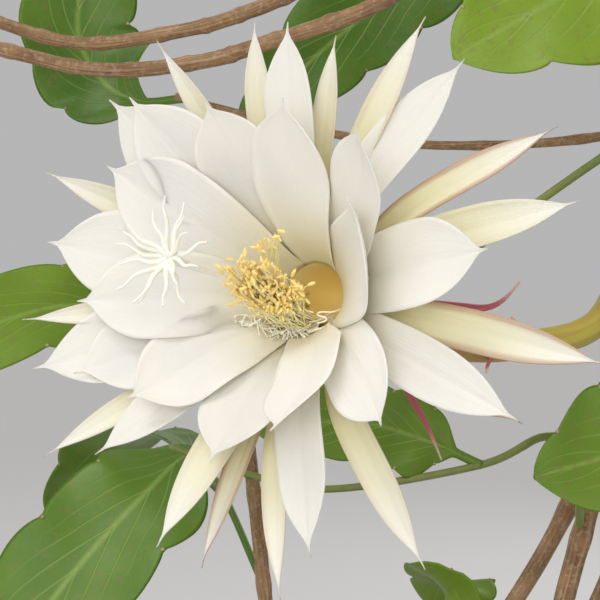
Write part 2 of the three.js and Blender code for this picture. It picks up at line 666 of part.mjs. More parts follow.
const cutters = Object.fromEntries(Object.entries(canes).map(([name, cane]) => [name, stemAlong(cane, gap)]));
add("pot", potSolid(), 0xb0623f, 0.85);
const fromSoil = Object.values(cladodes).filter(([stem]) => stem === "soil");
const holes = [...Object.values(cutters), ...fromSoil.map((cladode) => cladodeSolid(cladode, gap))];
add("soil", mainBody(soilSolid().subtract(fuse(holes))), 0x3b2c20, 0.95);
for (const [name, cane] of Object.entries(canes)) add(name, stemAlong(cane), 0x8a7352, 0.85);
for (const [name, [stem, ...rest]] of Object.entries(sideStems)) {
  add(name, mainBody(stemAlong(rest).subtract(cutters[stem])), name === "branch" ? 0x8a7352 : 0x7d9a55, 0.6);
  cutters[name] = stemAlong(rest, gap);
}
for (const [name, cladode] of Object.entries(cladodes)) {
  const made = cladodeSolid(cladode);
  add(name, cladode[0] === "soil" ? made : mainBody(made.subtract(cutters[cladode[0]])), 0x5d8a3c, 0.5);
}
add("floral_tube", tubeSolid(), 0xa06a50, 0.6);
add("perianth", perianthSolid().transform(flowerFrame.elements), 0xf3f1e4, 0.45);
add("stamens", stamensSolid().transform(flowerFrame.elements), 0xe9d98a, 0.6);
add("pistil", pistilSolid().transform(flowerFrame.elements), 0xf4eed2, 0.5);

export default group;
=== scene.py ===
import random
from math import cos, exp, pi, radians, sin, sqrt

import bmesh
import bpy
from mathutils import Matrix, Vector, noise


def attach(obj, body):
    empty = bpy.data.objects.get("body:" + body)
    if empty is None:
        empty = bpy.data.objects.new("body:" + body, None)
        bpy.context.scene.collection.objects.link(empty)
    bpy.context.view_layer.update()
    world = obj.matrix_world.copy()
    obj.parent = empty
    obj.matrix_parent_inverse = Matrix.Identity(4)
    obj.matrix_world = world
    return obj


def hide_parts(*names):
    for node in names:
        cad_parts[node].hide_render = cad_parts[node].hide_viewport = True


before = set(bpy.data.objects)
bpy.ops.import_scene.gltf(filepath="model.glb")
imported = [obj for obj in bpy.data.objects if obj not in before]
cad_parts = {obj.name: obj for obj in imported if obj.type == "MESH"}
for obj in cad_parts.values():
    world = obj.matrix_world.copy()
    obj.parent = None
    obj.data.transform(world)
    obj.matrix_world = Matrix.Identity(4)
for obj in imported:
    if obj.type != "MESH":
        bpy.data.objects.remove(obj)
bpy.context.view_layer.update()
print("frame loaded,", len(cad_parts), "nodes")

mm = 0.001  # the tables below are in millimetres


def newObject(name, data):
    made = bpy.data.objects.new(name, data)
    bpy.context.scene.collection.objects.link(made)
    return made


# Camera, light and floor

view = {
    "spot": (-34.6, -750, 466.15),  # level with the bloom, looking along +Y
    "pixelsPerMetre": 1560,  # at one metre away
    "picture": 600,
    "sensor": 36,
}
keyLight = {"from": (-0.5, -0.6, 1.35), "power": 0.92, "softness": 26, "color": (1, 0.965, 0.91)}
softBoxes = {
    # where it stands, what it points at, its size, its power and its colour
    "frontFill": ((-0.5, -2.3, 0.9), (-0.03, -0.1, 0.45), 1.8, 22, (1, 0.975, 0.94)),
    "leftFill": ((-2.1, -1, 0.9), (-0.03, -0.1, 0.4), 1.6, 6, (0.96, 0.98, 1)),
    "backLight": ((1.2, 1.8, 1.6), (0, 0, 0.4), 1.6, 12, (1, 0.98, 0.95)),
}
studio = {
    "air": (0.93, 0.93, 0.93, 1), "airStrength": 0.5,
    "floorSize": 400, "floorColor": (0.64, 0.64, 0.64, 1), "floorRoughness": 0.85,
}


def setCamera():
    data = bpy.data.cameras.new("camera")
    data.sensor_width = view["sensor"]
    data.lens = view["sensor"] * view["pixelsPerMetre"] / view["picture"]
    camera = newObject("camera", data)
    camera.location = Vector(view["spot"]) * mm
    camera.rotation_euler = (radians(90), 0, 0)
    bpy.context.scene.camera = camera


def setLights():
    sun = bpy.data.lights.new("keyLight", "SUN")
    sun.energy = keyLight["power"]
    sun.angle = radians(keyLight["softness"])
    sun.color = keyLight["color"]
    newObject("keyLight", sun).rotation_euler = Vector(keyLight["from"]).to_track_quat("Z", "Y").to_euler()
    for name, (place, target, size, power, color) in softBoxes.items():
        data = bpy.data.lights.new(name, "AREA")
        data.shape = "DISK"
        data.size = size
        data.energy = power
        data.color = color
        light = newObject(name, data)
        light.location = place
        light.rotation_euler = (Vector(target) - Vector(place)).to_track_quat("-Z", "Y").to_euler()
    world = bpy.data.worlds.new("studioAir")
    world.use_nodes = True
    air = world.node_tree.nodes["Background"].inputs
    air["Color"].default_value = studio["air"]
    air["Strength"].default_value = studio["airStrength"]
    bpy.context.scene.world = world
    bpy.context.scene.view_settings.view_transform = "Standard"


setCamera()
setLights()
print("camera and lights set")


# Node helpers

def startMaterial(name):
    material = bpy.data.materials.new(name)
    material.use_nodes = True
    return material, material.node_tree


def plug(tree, node, values):
    # each value is a socket to link from or a plain setting
    for socket, value in dict(values).items():
        if isinstance(value, bpy.types.NodeSocket):
            tree.links.new(value, node.inputs[socket])
        else:
            node.inputs[socket].default_value = value


def add(tree, kind, values=(), **fields):
    node = tree.nodes.new("ShaderNode" + kind)
    for name, value in fields.items():
        setattr(node, name, value)
    plug(tree, node, values)
    return node


def maths(tree, operation, a, b=0, clamp=False):
    return add(tree, "Math", {0: a, 1: b}, operation=operation, use_clamp=clamp).outputs[0]


def times(tree, a, b):
    return maths(tree, "MULTIPLY", a, b)


def spread(tree, value, low, high, to=(0, 1)):
    # eases what lies between low and high onto another range
    limits = {"Value": value, "From Min": low, "From Max": high, "To Min": to[0], "To Max": to[1]}
    return add(tree, "MapRange", limits, interpolation_type="SMOOTHSTEP").outputs["Result"]


def coats(tree, color, *layers):
    # each layer is a mask and the colour that it lays over the ones before
    for mask, layer in layers:
        color = add(tree, "Mix", {0: mask, 6: color, 7: layer}, data_type="RGBA").outputs[2]
    return color


def cloud(tree, place, scale, detail, roughness):
    values = {"Vector": place, "Scale": scale, "Detail": detail, "Roughness": roughness}
    return add(tree, "TexNoise", values).outputs["Fac"]


def objectPlace(tree):
    return add(tree, "TexCoord").outputs["Object"]


def vertexMark(tree, name):
    return add(tree, "Attribute", attribute_name=name).outputs["Fac"]


# Effects that several materials share

def startGroup(name, inputs, outputs):
    tree = bpy.data.node_groups.new(name, "ShaderNodeTree")
    for socket, value in inputs.items():
        kind = "NodeSocketColor" if isinstance(value, tuple) else "NodeSocketFloat"
        tree.interface.new_socket(socket, in_out="INPUT", socket_type=kind).default_value = value
    for socket, kind in outputs.items():
        tree.interface.new_socket(socket, in_out="OUTPUT", socket_type="NodeSocket" + kind)
    return tree, tree.nodes.new("NodeGroupInput").outputs, tree.nodes.new("NodeGroupOutput")


def buildVeins():
    # fine lines along a blade: a noise drawn out along the flow map
    tree, given, made = startGroup(
        "veins", {"Across": 30, "Along": 1.5, "Detail": 3},
        {"Lines": "Float", "Place Across": "Float", "Place Along": "Float"},
    )
    flow = add(tree, "UVMap", uv_map="flow").outputs[0]
    apart = add(tree, "SeparateXYZ", {0: flow}).outputs
    across, along = times(tree, apart["X"], given["Across"]), times(tree, apart["Y"], given["Along"])
    drawnOut = add(tree, "CombineXYZ", {"X": across, "Y": along}).outputs[0]
    lines = cloud(tree, drawnOut, 1, given["Detail"], 0.55)
    plug(tree, made, {"Lines": lines, "Place Across": apart["X"], "Place Along": apart["Y"]})
    return tree


def buildMottle():
    # soft cloudy patches between two colours, in object space
    tree, given, made = startGroup(
        "mottle", {"Color A": (1, 1, 1, 1), "Color B": (0, 0, 0, 1), "Size": 40, "Contrast": 1},
        {"Color": "Color", "Mask": "Float"},
    )
    half = maths(tree, "SUBTRACT", cloud(tree, objectPlace(tree), given["Size"], 5, 0.6), 0.5)
    steep = times(tree, half, times(tree, given["Contrast"], 3))
    mask = maths(tree, "ADD", steep, 0.5, clamp=True)
    plug(tree, made, {"Color": coats(tree, given["Color A"], (mask, given["Color B"])), "Mask": mask})
    return tree


def buildGrain():
    # a fine relief over any surface, in object space
    tree, given, made = startGroup(
        "grain", {"Size": 300, "Strength": 0.2, "Depth": 0.0004, "Height": 0}, {"Normal": "Vector"},
    )
    fine = cloud(tree, objectPlace(tree), given["Size"], 4, 0.6)
    height = maths(tree, "ADD", fine, given["Height"])
    values = {"Height": height, "Strength": given["Strength"], "Distance": given["Depth"]}
    plug(tree, made, {"Normal": add(tree, "Bump", values).outputs["Normal"]})
    return tree


veins = buildVeins()
mottle = buildMottle()
grain = buildGrain()


def useGroup(tree, group, values):
    return add(tree, "Group", values, node_tree=group).outputs


def veinLines(tree, across, along, detail):
    # the lines, and the place across and along the blade
    made = useGroup(tree, veins, {"Across": across, "Along": along, "Detail": detail})
    return made["Lines"], made["Place Across"], made["Place Along"]


def patches(tree, size, contrast, colorA=(1, 1, 1, 1), colorB=(0, 0, 0, 1)):
    # the mixed colour and its mask
    values = {"Color A": colorA, "Color B": colorB, "Size": size, "Contrast": contrast}
    made = useGroup(tree, mottle, values)
    return made["Color"], made["Mask"]


def relief(tree, pattern, gain, strength, depth, size=420):
    # a normal for the pattern's own height and a grain over it, with the depth in millimetres
    values = {"Size": size, "Strength": strength, "Depth": depth * mm, "Height": times(tree, pattern, gain)}
    return useGroup(tree, grain, values)["Normal"]


def dress(material, color, roughness, normal, soft=None, specular=0.5):
    # soft holds the weight, radius and scale of the light that passes through
    values = {"Base Color": color, "Roughness": roughness, "Normal": normal, "Specular IOR Level": specular}
    if soft:
        values["Subsurface Weight"], values["Subsurface Radius"] = soft[:2]
        values["Subsurface Scale"] = soft[2] * mm
    plug(material.node_tree, material.node_tree.nodes["Principled BSDF"], values)
    return material


# Materials of the bloom

petalFinish = {
    "body": (0.89, 0.86, 0.785, 1),
    "foot": (0.9, 0.82, 0.55, 1),  # creamy towards the throat
    "shade": (0.84, 0.805, 0.705, 1),
}
sepalFinish = {
    "body": (0.83, 0.77, 0.54, 1),
    "foot": (0.66, 0.6, 0.25, 1),  # green-yellow where it leaves the cup
    "tip": (0.88, 0.85, 0.76, 1),
    "margin": (0.42, 0.2, 0.13, 1),  # pink-brown edges of the outermost ones
    "back": (0.62, 0.44, 0.24, 1),
    "blush": (0.5, 0.2, 0.17, 1),
}
cupFinish = {
    "lip": (0.95, 0.88, 0.62, 1),
    "belowLip": (0.96, 0.83, 0.42, 1),
    "deep": (0.95, 0.72, 0.24, 1),
    "streak": (0.97, 0.82, 0.4, 1),
    "outerLip": (0.91, 0.84, 0.57, 1),
    "outside": (0.55, 0.38, 0.2, 1),
}


def petalMaterial():
    finish = petalFinish
    material, tree = startMaterial("petal")
    lines, _, along = veinLines(tree, 26, 1.6, 4)
    color = coats(
        tree, finish["body"], (times(tree, lines, 0.3), finish["shade"]),
        (times(tree, vertexMark(tree, "tone"), 0.3), finish["shade"]),
        (spread(tree, along, 0, 0.6, (1, 0)), finish["foot"]),
    )
    return dress(
        material, color, 0.48, relief(tree, lines, 2.2, 0.3, 0.35, 900),
        soft=(0.45, (1, 0.92, 0.75), 3), specular=0.35,
    )


def sepalMaterial(name, back):
    finish = sepalFinish
    material, tree = startMaterial(name)
    lines, across, along = veinLines(tree, 12, 1.2, 4)
    blushing = vertexMark(tree, "blush")
    fromMiddle = maths(tree, "ABSOLUTE", maths(tree, "SUBTRACT", across, 0.5))
    nearMargin = spread(tree, maths(tree, "ADD", fromMiddle, times(tree, lines, 0.12)), 0.34, 0.56)
    color = coats(
        tree, finish["body"], (times(tree, lines, 0.4), finish["foot"]),
        (spread(tree, along, 0.45, 1), finish["tip"]),
        (times(tree, spread(tree, along, 0, 0.5, (1, 0)), 0.65), finish["foot"]),
    )
    if back:
        color = coats(
            tree, color, (maths(tree, "ADD", times(tree, blushing, 0.55), 0.3), finish["back"]),
            (times(tree, lines, blushing), finish["blush"]),
        )
    edge = times(tree, nearMargin, times(tree, blushing, 0.85))
    return dress(
        material, coats(tree, color, (edge, finish["margin"])), 0.46,
        relief(tree, lines, 2, 0.35, 0.4, 900), soft=(0.3, (1, 0.8, 0.5), 2.2), specular=0.35,
    )


def cupMaterial():
    finish = cupFinish
    material, tree = startMaterial("cupFlesh")
    lines, _, along = veinLines(tree, 60, 1, 2)
    # the flow map runs from the lip down the inside and back up the outside
    outside = times(tree, spread(tree, along, 0.5, 0.56), spread(tree, along, 0.88, 0.94, (1, 0)))
    color = coats(
        tree, finish["lip"], (spread(tree, along, 0, 0.08), finish["belowLip"]),
        (spread(tree, along, 0.08, 0.3), finish["deep"]), (times(tree, lines, 0.25), finish["streak"]),
        (spread(tree, along, 0.88, 0.94), finish["outerLip"]), (outside, finish["outside"]),
    )
    return dress(material, color, 0.5, relief(tree, lines, 2, 0.25, 0.3), soft=(0.25, (1, 0.7, 0.3), 2.5))


def plainFlesh(name, colorA, colorB, roughness, weight=0.3, size=260):
    material, tree = startMaterial(name)
    color, mask = patches(tree, size, 0.9, colorA, colorB)
    return dress(
        material, color, roughness, relief(tree, mask, 1, 0.3, 0.2, 1400), soft=(weight, (1, 0.8, 0.5), 1.2),
    )


petal = petalMaterial()
sepalFront = sepalMaterial("sepalFront", False)
sepalBack = sepalMaterial("sepalBack", True)
cupFlesh = cupMaterial()
filament = plainFlesh("filament", (1, 0.92, 0.6, 1), (1, 0.82, 0.38, 1), 0.5, 0.6)
thread = plainFlesh("paleThread", (0.99, 0.96, 0.84, 1), (0.98, 0.92, 0.7, 1), 0.5, 0.15)
pollen = plainFlesh("pollen", (1, 0.85, 0.42, 1), (1, 0.68, 0.17, 1), 0.85, 0.3, 700)
stigma = plainFlesh("stigma", (0.97, 0.96, 0.89, 1), (0.94, 0.91, 0.78, 1), 0.55)
print("materials of the bloom made")


# Mesh helpers

def startPiece():
    piece = bmesh.new()
    piece.loops.layers.uv.new("flow")
    piece.verts.layers.float.new("tone")
    piece.verts.layers.float.new("blush")
    return piece


def meshObject(bm, name):
    data = bpy.data.meshes.new(name)
    bm.to_mesh(data)
    bm.free()
    return newObject(name, data)


def endPiece(bm, name, materials, slot, *nodes):
    piece = meshObject(bm, name)
    piece.data.shade_smooth()
    for material in materials:
        piece.data.materials.append(material)
    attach(piece, "root")
    if nodes:
        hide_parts(*nodes)
    return piece


def thicken(piece, thickness):
    body = piece.modifiers.new("body", "SOLIDIFY")
    body.thickness = thickness * mm
    body.offset = 0
    return body


def sheet(bm, columns, rows, place, tone=0, blush=0, material=0):
    # a grid whose points are moved to place(column, row)
    made = bmesh.ops.create_grid(bm, x_segments=columns, y_segments=rows, size=0.5, calc_uvs=True)["verts"]
    toneLayer = bm.verts.layers.float["tone"]
    blushLayer = bm.verts.layers.float["blush"]
    for vert in made:
        vert.co = place(round((vert.co.x + 0.5) * columns), round((vert.co.y + 0.5) * rows))
        vert[toneLayer] = tone
        vert[blushLayer] = blush
    if material:
        for face in {face for vert in made for face in vert.link_faces}:
            face.material_index = material
    return made


def loft(bm, around, along, place, **marks):
    # a sheet closed into a tube, with both ends filled
    made = sheet(bm, around, along, place, **marks)
    bmesh.ops.remove_doubles(bm, verts=made, dist=1e-7)
    kept = [vert for vert in made if vert.is_valid]
    ends = {edge for vert in kept for edge in vert.link_edges if edge.is_boundary}
    bmesh.ops.holes_fill(bm, edges=list(ends), sides=around)


def closeUp(bm, verts, near):
    bmesh.ops.remove_doubles(bm, verts=verts, dist=near)
    bmesh.ops.recalc_face_normals(bm, faces=bm.faces[:])


def smoothRoute(points):
    spots = [Vector(p) for p in points]
    spots = [2 * spots[0] - spots[1], *spots, 2 * spots[-1] - spots[-2]]

    def at(share):
        place = share * (len(spots) - 3)
        i = min(max(int(place), 0), len(spots) - 4)
        t = place - i
        a, b, c, d = spots[i : i + 4]
        return b + 0.5 * t * ((c - a) + t * ((2 * a - 5 * b + 4 * c - d) + t * (3 * (b - c) + d - a)))

    return at


def routeLength(points):
    return sum((Vector(b) - Vector(a)).length for a, b in zip(points, points[1:]))


def tangentOf(at, share, step=1e-4):
    low, high = max(0, share - step), min(1, share + step)
    return (at(high) - at(low)).normalized()


def evenly(count):
    return [i / count for i in range(count + 1)]


def ringsAlong(at, shares):
    # a point and two directions across the route, for each ring
    across = Vector((0.8, 0.5, 0.33))
    rings = []
    for share in shares:
        along = tangentOf(at, share)
        across = (across - along * across.dot(along)).normalized()
        rings.append((at(share), across.copy(), along.cross(across)))
    return rings


def roundStem(bm, rings, radiusAt, around, **marks):
    count = len(rings) - 1

    def place(column, row):
        middle, across, other = rings[row]
        turn = 2 * pi * (column % around) / around
        radius = radiusAt(row / count, turn)
        return (middle + across * radius * cos(turn) + other * radius * sin(turn)) * mm

    loft(bm, around, count, place, **marks)


def clamp01(value):
    return min(1, max(0, value))


def ease(t):
    return t * t * (3 - 2 * t)


def mix(a, b, t):
    return a + (b - a) * t


def outward(angle, reach=1, height=0):
    return Vector((reach * cos(angle), reach * sin(angle), height))


def sideOf(out):
    return Vector((-out.y, out.x, 0))


def anyWay(chance, reach):
    return Vector([chance.uniform(-reach, reach) for _ in range(3)])


# The flower's own frame: +Z out along its axis, +X to its top, +Y to its left in the picture

flower = {"throat": (-30, -150, 470), "turn": 34, "rise": 7, "mouthShift": (-2, 1.4, 0)}


def flowerFrame():
    turn, rise = radians(flower["turn"]), radians(flower["rise"])
    axis = Vector((-sin(turn) * cos(rise), -cos(turn) * cos(rise), sin(rise)))
    top = (Vector((0, 0, 1)) - axis * axis.z).normalized()
    placed = Matrix((top, axis.cross(top), axis)).transposed().to_4x4()
    placed.translation = Vector(flower["throat"])
    return placed


def flowerRings(at, count):
    # rings along a route that is given in the flower's own frame
    turned = fromFlower.to_3x3()
    rings = ringsAlong(at, evenly(count))
    return [(fromFlower @ spot, turned @ across, turned @ other) for spot, across, other in rings]


fromFlower = flowerFrame()
mouthShift = Vector(flower["mouthShift"])


# Tepals, in whorls from the inside out, with the same rows as the CAD model.
# Each row: bearing round the axis from the top, lean at the tip in degrees, length, width, sideways bow,
# curl of the tip in degrees, and how much pink-brown is in its margins.

broadWhorls = [
    {
        "ring": 14, "root": 2, "footLean": 26, "hollow": 0.16,
        "rows": [
            (58, 66, 85, 36), (97.5, 63.3, 83.2, 34), (134.7, 58.7, 73.9, 34, 0, -24),
            (199, 50, 69, 29, 9, -6), (348, 53, 72, 34),
        ],
    },
    {
        # the broad petal that closes the cup on the near side
        "ring": 14.2, "root": 2.4, "footLean": 34, "broadest": 0.45, "foot": 0.86, "shoulder": 2.8,
        "hollow": 0.19, "wrap": 1.5, "left": 0.45, "rows": [(299, 41, 66, 56, -18, -26)],
    },
    {
        "ring": 15.4, "root": 3.6, "footLean": 31, "foot": 0.42, "hollow": 0.14,
        "rows": [
            (19, 53, 74, 34), (82, 67, 98, 36), (116, 66, 88, 34), (172, 55, 73, 34),
            (228.9, 67.3, 79, 28, 2, -13),
        ],
    },
    {
        "ring": 16.4, "root": 4.6, "footLean": 31, "hollow": 0.14,
        "rows": [(39.8, 62, 92.2, 34), (272.5, 45, 32, 32), (315, 50, 80, 28, -7, -20)],
    },
    {
        "ring": 16.8, "root": 6, "footLean": 38, "broadest": 0.6, "foot": 0.4, "shoulder": 2.8,
        "hollow": 0.16, "rows": [(44.5, 62, 97.2, 34), (111, 67, 104, 32), (276, 74, 86, 32)],
    },
    {
        "ring": 16.8, "root": 6, "footLean": 38, "broadest": 0.6, "foot": 0.45, "shoulder": 2.8,
        "hollow": 0.2,
        "rows": [
            (359, 76, 91, 22), (320, 94, 98, 21), (244, 96, 98, 21), (193, 84, 95, 21), (138, 62, 93, 19),
        ],
    },
]
narrowWhorls = [
    {
        "ring": 17.2, "root": 9.5, "footLean": 44, "broadest": 0.6, "shoulder": 2.6, "hollow": 0.34,
        "rows": [
            (8, 72, 94, 13, 5, 0, 0.1), (28, 62, 103, 10, 0, 0, 0.15), (67, 60, 107, 12, 0, 0, 0.2),
            (100, 60, 106, 10, 0, 0, 0.2), (130, 62, 111, 11, 0, 0, 0.2), (162, 66, 104, 17, 0, 0, 0.15),
            (168, 78, 102, 10, 0, 0, 0.8), (186, 82, 109, 11, -5, 0, 0.3), (211, 96, 107, 14, 0, 0, 0.2),
            (242, 106, 91, 14, 0, 0, 1), (258, 106, 115, 15, 0, 0, 0.8), (287, 108, 102, 16, 0, 0, 0.1),
            (301, 104, 104, 12, 0, 0, 0.85), (331, 85, 102, 13, 0, 0, 0.25), (350, 79, 85, 11, 0, 0, 0.2),
        ],
    },
]
tepalBuild = {
    "bodyThickness": 0.5,
    "stagger": 0.32,  # neighbours stand this much further in or out
    "sunk": 2.5,  # how far the foot stands in the cup's wall
    "needle": 0.045,  # the drawn-out tip, as a share of the length
    "ruffle": 0.05,
    "wrap": 0.42,  # the share of the length over which it leaves the ring's curve
    "crease": 0.5,
    # the usual blade, where its whorl says nothing else
    "broadest": 0.62,
    "foot": 0.5,
    "shoulder": 3,
    "left": 1,  # how much of its width is on its left
}


def halfWidthShare(whorl, s):
    # a foot, a broad waist and shoulders that end in a short needle
    needle = whorl["needle"]
    body = s / (1 - needle)
    if body < whorl["broadest"]:
        return whorl["foot"] + (1 - whorl["foot"]) * sin(pi / 2 * body / whorl["broadest"]) ** 1.2
    beyond = clamp01((body - whorl["broadest"]) / (1 - whorl["broadest"]))
    return max((1 - beyond ** whorl["shoulder"]) ** 1.1, 0.05 * (1 - s) / needle, 0.008)


def tepal(bm, whorl, row, columns, rows, chance, shift):
    bearing, lean, length, width, bow, curl, blush = (*row, 0, 0, 0)[:7]
    out = outward(radians(bearing))
    side, up = sideOf(out), Vector((0, 0, 1))
    sunk = whorl["sunk"]
    hook = chance.uniform(-16, 22)
    wavePhase = chance.uniform(0, 6.28)
    twist = chance.uniform(-0.05, 0.05)

    def leanAt(s):
        bend = mix(whorl["footLean"], lean, ease(min(1, s / 0.6)))
        tipBend = curl * max(0, (s - 0.6) / 0.4) ** 2 + hook * max(0, (s - 0.9) / 0.1) ** 2
        return radians(bend + tipBend)

    # the middle line, in fine steps between the rows, from a first row down in the cup's wall
    parts = 6
    step = length / ((rows - 1) * parts)
    radius, height = whorl["ring"] + shift, -whorl["root"]
    spine = [(radius - sunk * sin(leanAt(0)), height - sunk * cos(leanAt(0)), 0)]
    for i in range(rows):
        spine.append((radius, height, i / (rows - 1)))
        for k in range(parts):
            now = leanAt((i + (k + 0.5) / parts) / (rows - 1))
            radius += step * sin(now)
            height += step * cos(now)

    def place(column, rowNumber):
        radius, height, s = spine[rowNumber]
        u = 1 - 2 * column / columns
        now = leanAt(s)
        face = up * sin(now) - out * cos(now)
        half = width / 2 * halfWidthShare(whorl, s) * (whorl["left"] if u > 0 else 1)
        middle = out * radius + up * height + side * bow * sin(pi * s)
        wave = 0.03 * half * sin(9 * s + bearing) * u + twist * half * u * s
        ruffle = whorl["ruffle"] * half * abs(u) ** 3 * sin(13 * s + 2.5 * u + wavePhase)
        ruffle *= ease(min(1, s / 0.5))
        crease = -whorl["crease"] * exp(-((u / 0.12) ** 2)) * min(1, half / 5)
        lift = whorl["hollow"] * half * u * u + wave + ruffle + crease
        flat = middle + side * half * u + face * lift
        # the foot follows the ring that it stands on
        turn = half * u / radius
        curved = (out * cos(turn) + side * sin(turn)) * radius + up * height
        shifted = mouthShift * (1 - ease(min(1, s / 0.6)))
        return fromFlower @ (curved.lerp(flat, ease(clamp01(s / whorl["wrap"]))) + shifted) * mm

    sheet(bm, columns, rows, place, tone=chance.random(), blush=blush)


def makeTepals(name, whorls, materials, columns, rows, seed):
    chance = random.Random(seed)
    bm = startPiece()
    for whorl in whorls:
        for i, row in enumerate(whorl["rows"]):
            tepal(bm, {**tepalBuild, **whorl}, row, columns, rows, chance, tepalBuild["stagger"] * (-1) ** i)
    piece = endPiece(bm, name, materials, "tepal", "perianth")
    body = thicken(piece, tepalBuild["bodyThickness"])
    body.material_offset = len(materials) - 1
    body.use_quality_normals = True


makeTepals("inner_tepals", broadWhorls, [petal], 18, 44, 11)
makeTepals("outer_tepals", narrowWhorls, [sepalFront, sepalBack], 12, 40, 23)
print("tepals made")


# The cup that carries the tepals

cup = {"mouth": 13.2, "wall": 5, "depth": 28, "neck": 8.6, "sides": 96, "steps": 15}


def makeCup():
    mouth, wall, depth, neck = cup["mouth"], cup["wall"], cup["depth"], cup["neck"]
    inside = smoothRoute([
        (mouth + 0.7, 0, -3.2), (mouth - 0.1, 0, -4.6), (mouth - 1, 0, -0.32 * depth),
        (neck + 2.2, 0, -0.6 * depth), (neck - 1, 0, -0.82 * depth), (0.5 * neck, 0, -0.93 * depth),
        (0.05, 0, -0.96 * depth),
    ])
    outside = smoothRoute([
        (0.05, 0, -depth), (neck + 2.4, 0, -depth), (neck + 5.2, 0, -0.62 * depth),
        (mouth + wall, 0, -0.34 * depth), (mouth + 2.9, 0, -4.8), (mouth + 0.7, 0, -3.2),
    ])
    shares = evenly(cup["steps"])
    profile = [inside(share) for share in shares] + [outside(share) for share in shares[:-1]]
    profile.append(profile[0])

    def place(column, row):
        turn = -2 * pi * (column % cup["sides"]) / cup["sides"]
        spot = profile[row]
        return fromFlower @ (outward(turn, spot.x, spot.z) + mouthShift * clamp01(1 + spot.z / depth)) * mm

    bm = startPiece()
    closeUp(bm, sheet(bm, cup["sides"], len(profile) - 1, place), 1e-7)
    endPiece(bm, "flower_cup", [cupFlesh], "tepal", "perianth")


makeCup()
print("cup made")


# Stamens: four sheaves of fine filaments, each with an anther, and three bare threads.
# Each sheaf: how many, the bearings of its roots, how much they curl, the line that its tips lie along, and
# how far they stray from it at its start and its end.

stamenBuild = {
    "ring": 10.6,
    "radius": 0.23,
    "antherRadius": 0.68,
    "antherLength": 3.5,
    "rootHeights": (-15, -5),
    "sheaves": [
        {
            "count": 280, "bearings": (100, 204), "curl": 2.4, "pale": False, "stray": (2.2, 3.8),
            "line": [(-5.6, -7, 20), (-1.1, 0, 32), (1.6, 4.8, 42)],
        },
        {
            "count": 110, "bearings": (130, 204), "curl": 2.2, "pale": False, "stray": (1.2, 2),
            "line": [(-10.8, -6.5, 22), (-8.9, 1.1, 31), (-5, 6.5, 40)],
        },
        {
            "count": 16, "bearings": (75, 120), "curl": 2, "pale": False, "stray": (1.4, 1.8),
            "line": [(18, -1, 26), (13, 0.5, 30), (9, 2, 34)],
        },
        {
            "count": 34, "bearings": (212, 112), "curl": 4, "pale": True, "stray": (0.9, 1.6),
            "line": [(-15.5, -3, 6), (-17.4, 9, 11), (-12.5, 23, 17)],
        },
    ],
    # pale threads that curl over the lower rim
    "curls": [
        [(-7, -5, -9), (-12, -5, 2), (-12.5, -1.6, 5), (-10.8, -0.2, 6), (-8.9, -2.4, 7), (-9.4, -5.4, 6)],
        [
            (-5, -12, -8), (-8.7, -12.6, 3), (-9.2, -8.6, 6), (-10.4, -7.4, 6), (-11.1, -10.2, 5),
            (-12.4, -10.4, 5), (-13.4, -6.6, 5),
        ],
        [(-9, -8, -7), (-13.4, -9.5, 1), (-15.7, -5.9, 4), (-17.3, 0.4, 4), (-16.5, 8.8, 6)],
    ],
}


def anther(bm, place, lie, chance, squeeze, material):
    # a plump sac with a groove down each flat side
    radius, length = stamenBuild["antherRadius"] * squeeze, stamenBuild["antherLength"] * squeeze
    middle = place + anyWay(chance, 0.25)
    rings = flowerRings(smoothRoute([place - lie * length / 2, middle, place + lie * length / 2]), 6)

    def radiusAt(s, turn):
        plump = 0.12 + 0.88 * max(0, 1 - (2 * s - 1) ** 2) ** 0.5
        return radius * plump * (0.86 + 0.16 * cos(2 * turn))

    roundStem(bm, rings, radiusAt, 8, tone=chance.random(), material=material)


def makeStamens():
    chance = random.Random(5)
    threads = startPiece()
    anthers = startPiece()
    build = stamenBuild
    for points in build["curls"]:
        rings = flowerRings(smoothRoute(points), 30)
        roundStem(threads, rings, lambda s, turn: build["radius"] * 1.6, 6, material=1)
    for sheaf in build["sheaves"]:
        pale = sheaf["pale"]
        thicker = 1.5 if pale else 1
        lineAt = smoothRoute(sheaf["line"])
        for i in range(sheaf["count"]):
            share = (i + chance.random()) / sheaf["count"]
            # the pale ones keep their order round the rim
            place = clamp01(share + chance.uniform(-0.12, 0.12)) if pale else chance.random()
            out = outward(radians(mix(*sheaf["bearings"], place)))
            deep = Vector((0, 0, chance.uniform(*build["rootHeights"])))
            root = out * (build["ring"] - 0.4) + mouthShift * 0.7 + deep
            tip = lineAt(share) + Vector([chance.gauss(0, 1) * mix(*sheaf["stray"], share) for _ in range(3)])
            lip = out * (build["ring"] + 0.8) + mouthShift + Vector((0, 0, 1.5))
            curl = anyWay(chance, 1)
            bend = lip.lerp(tip, 0.5) + out * chance.uniform(0.5, 4.5) + curl * sheaf["curl"] * 0.6
            nearTip = lip.lerp(tip, 0.86) - curl * sheaf["curl"] * 0.6
            at = smoothRoute([root, lip.lerp(root, 0.4), bend, nearTip, tip])
            roundStem(
                threads, flowerRings(at, 14), lambda s, turn: build["radius"] * mix(1.2, 0.8, s) * thicker, 6,
                tone=chance.random(), material=int(pale),
            )
            lie = (tangentOf(at, 1) + curl * 0.9).normalized()
            squeeze = chance.uniform(0.5, 0.8) if pale else chance.uniform(0.8, 1.15)
            anther(anthers, tip + lie * build["antherLength"] * 0.3, lie, chance, squeeze, int(pale))
    endPiece(threads, "filaments", [filament, thread], "stamen", "stamens")
    endPiece(anthers, "anthers", [pollen, stigma], "stamen", "stamens")


makeStamens()
print("stamens made")


# Pistil: a long style that ends in a star of wavy lobes

